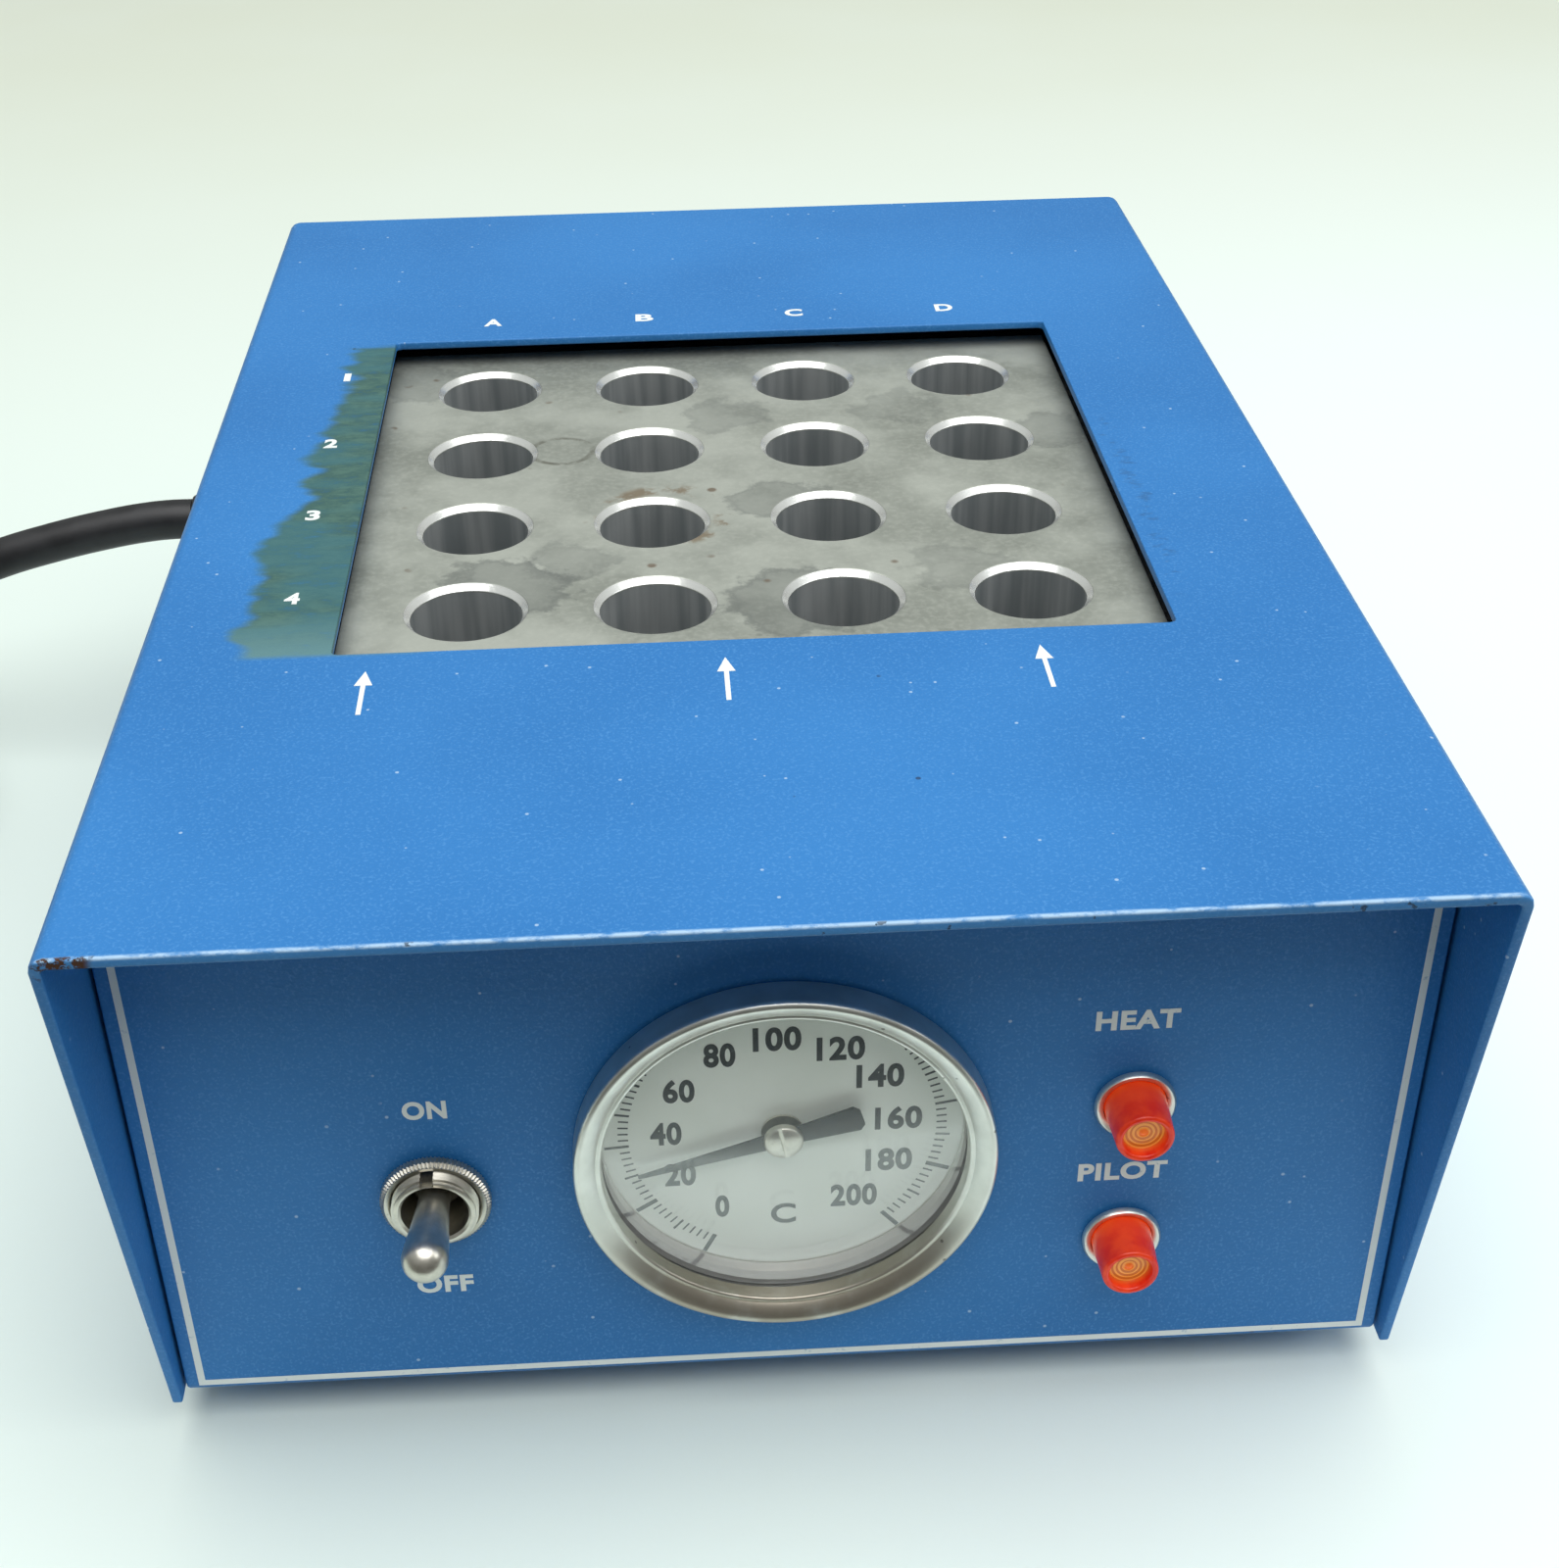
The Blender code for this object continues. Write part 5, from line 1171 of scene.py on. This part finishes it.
def strain_cone():
    low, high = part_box("strain_relief")
    y, z = (low[1] + high[1]) / 2, (low[2] + high[2]) / 2
    reach = cover_low[0] - low[0]
    hole = CORD_RADIUS + 0.15 * MM
    outline = [(hole, 0.25 * MM), (8.3 * MM, 0.25 * MM), (8.6 * MM, 0.6 * MM),
               (8.6 * MM, 2.2 * MM), (8.1 * MM, 2.9 * MM), (6.2 * MM, 3.1 * MM)]
    ribs = 6
    first, last = 5.0 * MM, reach - 2.2 * MM
    for rib in range(ribs):
        start = first + (last - first) * rib / ribs
        width = (last - first) / ribs
        radius = 6.15 * MM - 0.17 * MM * rib
        outline += [(radius, start), (radius, start + 0.55 * width),
                    (radius - 0.55 * MM, start + 0.68 * width),
                    (radius - 0.55 * MM, start + 0.92 * width)]
    outline += [(5.0 * MM, reach - 0.6 * MM), (4.7 * MM, reach), (hole, reach)]
    return into_object("strain_cone", turned(outline, facing_side(-1, y, z), 64), 30)


def ring_of(width, height, corner, y, centre, steps=8):
    """A rounded rectangle at a place y: four quarter arcs joined by straight runs."""
    half_w, half_h = width / 2 - corner, height / 2 - corner
    points = []
    for start, side_x, side_z in ((0, 1, 1), (90, -1, 1), (180, -1, -1), (270, 1, -1)):
        points += [(centre[0] + side_x * half_w + x, y, centre[1] + side_z * half_h + z)
                   for x, z in arc((0, 0), corner, start, start + 90, steps)]
    return points


def loft(rings):
    bm = bmesh.new()
    rows = [[bm.verts.new(point) for point in ring] for ring in rings]
    for near, far in zip(rows, rows[1:]):
        for index in range(len(near)):
            after = (index + 1) % len(near)
            bm.faces.new((near[index], near[after], far[after], far[index]))
    bm.faces.new(rows[0])
    bm.faces.new(list(reversed(rows[-1])))
    return bm


def plug_shell():
    low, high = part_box("plug_body")
    centre = ((low[0] + high[0]) / 2, (low[2] + high[2]) / 2)
    width, height = high[0] - low[0], high[2] - low[2]
    neck_end, face = high[1], low[1]
    shoulder = neck_end - 10 * MM
    rings = []

    def ring(wide, tall, corner, y):
        rings.append(ring_of(wide, tall, corner, y, centre))

    ring(10.2 * MM, 10.2 * MM, 5.0 * MM, neck_end)
    for rib in range(3):
        y, size = neck_end - (0.6 + 3.0 * rib) * MM, (11.2 + 0.6 * rib) * MM
        for less, round_off, back in ((0, 2.02, 0), (0, 2.02, 1.5), (1.3, 2.4, 1.9), (1.3, 2.4, 2.7)):
            ring(size - less * MM, size - less * MM, size / round_off, y - back * MM)
    for share, back in ((0.62, 0.0), (0.80, 2.2), (0.92, 5.5), (0.96, 9.0)):
        ring(width * share, height * share, 4.2 * MM, shoulder - back * MM)
    for step in range(5):
        y = shoulder - (10.5 + 3.0 * step) * MM
        for wide, tall, back in ((0.90, 0.97, 0), (0.90, 0.97, 1.2), (0.97, 1, 1.5), (0.97, 1, 2.6)):
            ring(width * wide, height * tall, 4 * MM, y - back * MM)
    for less, corner, out in ((0, 3.4, 4.5), (0, 3.4, 0.8), (1.2, 3.0, 0)):
        ring(width - less * MM, height - less * MM, corner * MM, face + out * MM)
    return into_object("plug_shell", loft(rings), 34)


black_moulding = moulded_rubber("black_moulding", tint(40, 40, 41))
fit(soften(strain_cone(), 0.12 * MM), black_moulding,
    stands_for=("strain_relief",))
fit(soften(plug_shell(), 0.25 * MM), black_moulding, stands_for=("plug_body",))

# %% [markdown]
# Pan-head screws hold the cover on its sides. A pressed cross takes the driver: two thin bars
# cut into a low dome. The four heads are the same piece at four places, read from the frame.

# %% Cover screws
def zinc_plate(name):
    material, place = begin(name)
    cloud = place.clouds(1.8 * MM, 4.0, 0.6)
    colour = cloud.rise(0.3, 0.7).blend((0.47, 0.47, 0.45, 1), (0.66, 0.65, 0.60, 1))
    dirt = place.dots(0.9 * MM).rise(0.25, 0.05) * cloud.rise(0.45, 0.6)
    colour = (dirt * 0.5).blend(colour, (0.16, 0.14, 0.11, 1))
    complete(place, cloud, 0.01 * MM, Base_Color=colour, Metallic=0.9,
             Roughness=0.30 + cloud * 0.16)
    return material


def pan_head(name, node, sign):
    low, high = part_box(node)
    y, z = (low[1] + high[1]) / 2, (low[2] + high[2]) / 2
    radius = (high[1] - low[1]) / 2
    inner, outer = sorted((abs(low[0]), abs(high[0])))
    base = 0.2 * MM
    crest = outer - cover_high[0]
    shank, shank_end = 1.6 * MM, inner - cover_high[0]
    outline = [(0, shank_end), (shank, shank_end), (shank, base),
               (radius - 0.1 * MM, base), (radius, base + 0.3 * MM),
               (radius * 0.96, crest * 0.62), (radius * 0.80, crest * 0.86),
               (radius * 0.45, crest * 0.98), (0, crest)]
    place = facing_side(sign, y, z)
    head = into_object(name, turned(outline, place, 48))
    for angle in (20, 110):
        bar = bmesh.new()
        add_block(bar, (0.75 * MM, 3.8 * MM, 1.6 * MM),
                  place @ Matrix.Translation((0, 0, crest))
                  @ Matrix.Rotation(math.radians(angle), 4, "Z"))
        cut(head, into_object("cross_cutter", bar))
    return head


zinc = zinc_plate("zinc_plate")
for end in ("front", "rear"):
    for side, sign in (("left", -1), ("right", 1)):
        node = f"cover_screw_{end}_{side}"
        fit(soften(pan_head(f"pan_head_{end}_{side}", node, sign), 0.08 * MM, 1), zinc,
            stands_for=(node,))

# %% [markdown]
# The rest of the heater's parts keep their own shape: feet, bolts, posts, heaters, the
# insulation, the wires and the thermostat. Each family gets its own finish, and a small bevel
# takes the dead sharpness off its edges.

# %% Finishes of the inner parts and the feet
def cloudy(name, dark, pale, size, roughness, metallic=0.0, depth=0.02, stretch=(1, 1, 1)):
    """A finish of two tones in soft patches, with a fine texture of its own."""
    material, place = begin(name)
    patches = place.stretched(stretch).clouds(size * MM, 4.0, 0.6)
    fine = place.clouds(size * 0.12 * MM, 3.0, 0.6)
    colour = patches.rise(0.3, 0.7).blend(dark, pale)
    colour = (fine.rise(0.5, 0.8) * 0.35).blend(colour, pale)
    complete(place, fine, depth * MM, Base_Color=colour, Metallic=metallic,
             Roughness=roughness + patches * 0.16)
    return material


families = {
    "black_rubber": cloudy("foot_rubber", tint(20, 20, 21), tint(48, 47, 46), 4, 0.60),
    "zinc_steel": zinc,
    "stainless": cloudy("drawn_stainless", (0.50, 0.50, 0.48, 1), (0.68, 0.67, 0.63, 1), 5, 0.26,
                        0.95),
    "glass_fibre": cloudy("glass_fibre_felt", tint(38, 38, 38), tint(86, 84, 78), 3, 0.80, 0.0,
                          0.35),
    "ceramic": cloudy("fired_ceramic", tint(214, 208, 194), tint(236, 232, 222), 4, 0.55),
    "phenolic": cloudy("phenolic_moulding", tint(24, 22, 22), tint(52, 48, 46), 5, 0.34),
    "brass": cloudy("drawn_brass", (0.55, 0.36, 0.13, 1), (0.80, 0.60, 0.30, 1), 4, 0.26, 0.95),
    "bimetal": cloudy("rolled_bimetal", (0.46, 0.40, 0.30, 1), (0.70, 0.63, 0.50, 1), 2, 0.30,
                      0.9),
    "cord_jacket": cloudy("inner_lead_jacket", tint(22, 22, 24), tint(40, 40, 42), 6, 0.38),
    "wire_sleeve": cloudy("woven_wire_sleeve", tint(196, 190, 172), tint(232, 228, 214), 1.2,
                          0.70, 0.0, 0.12),
}
for sub_part in frame["record"]["subparts"]:
    node, family = sub_part["node"], families.get(sub_part["material_slot"])
    if family is None or node in ("cord_run", "cord_coil", "cord_tail"):
        continue
    part = soft_sheet_edges(node, 0.12 * MM)
    part.data.materials[0] = family
print("families of finish:", len(families))
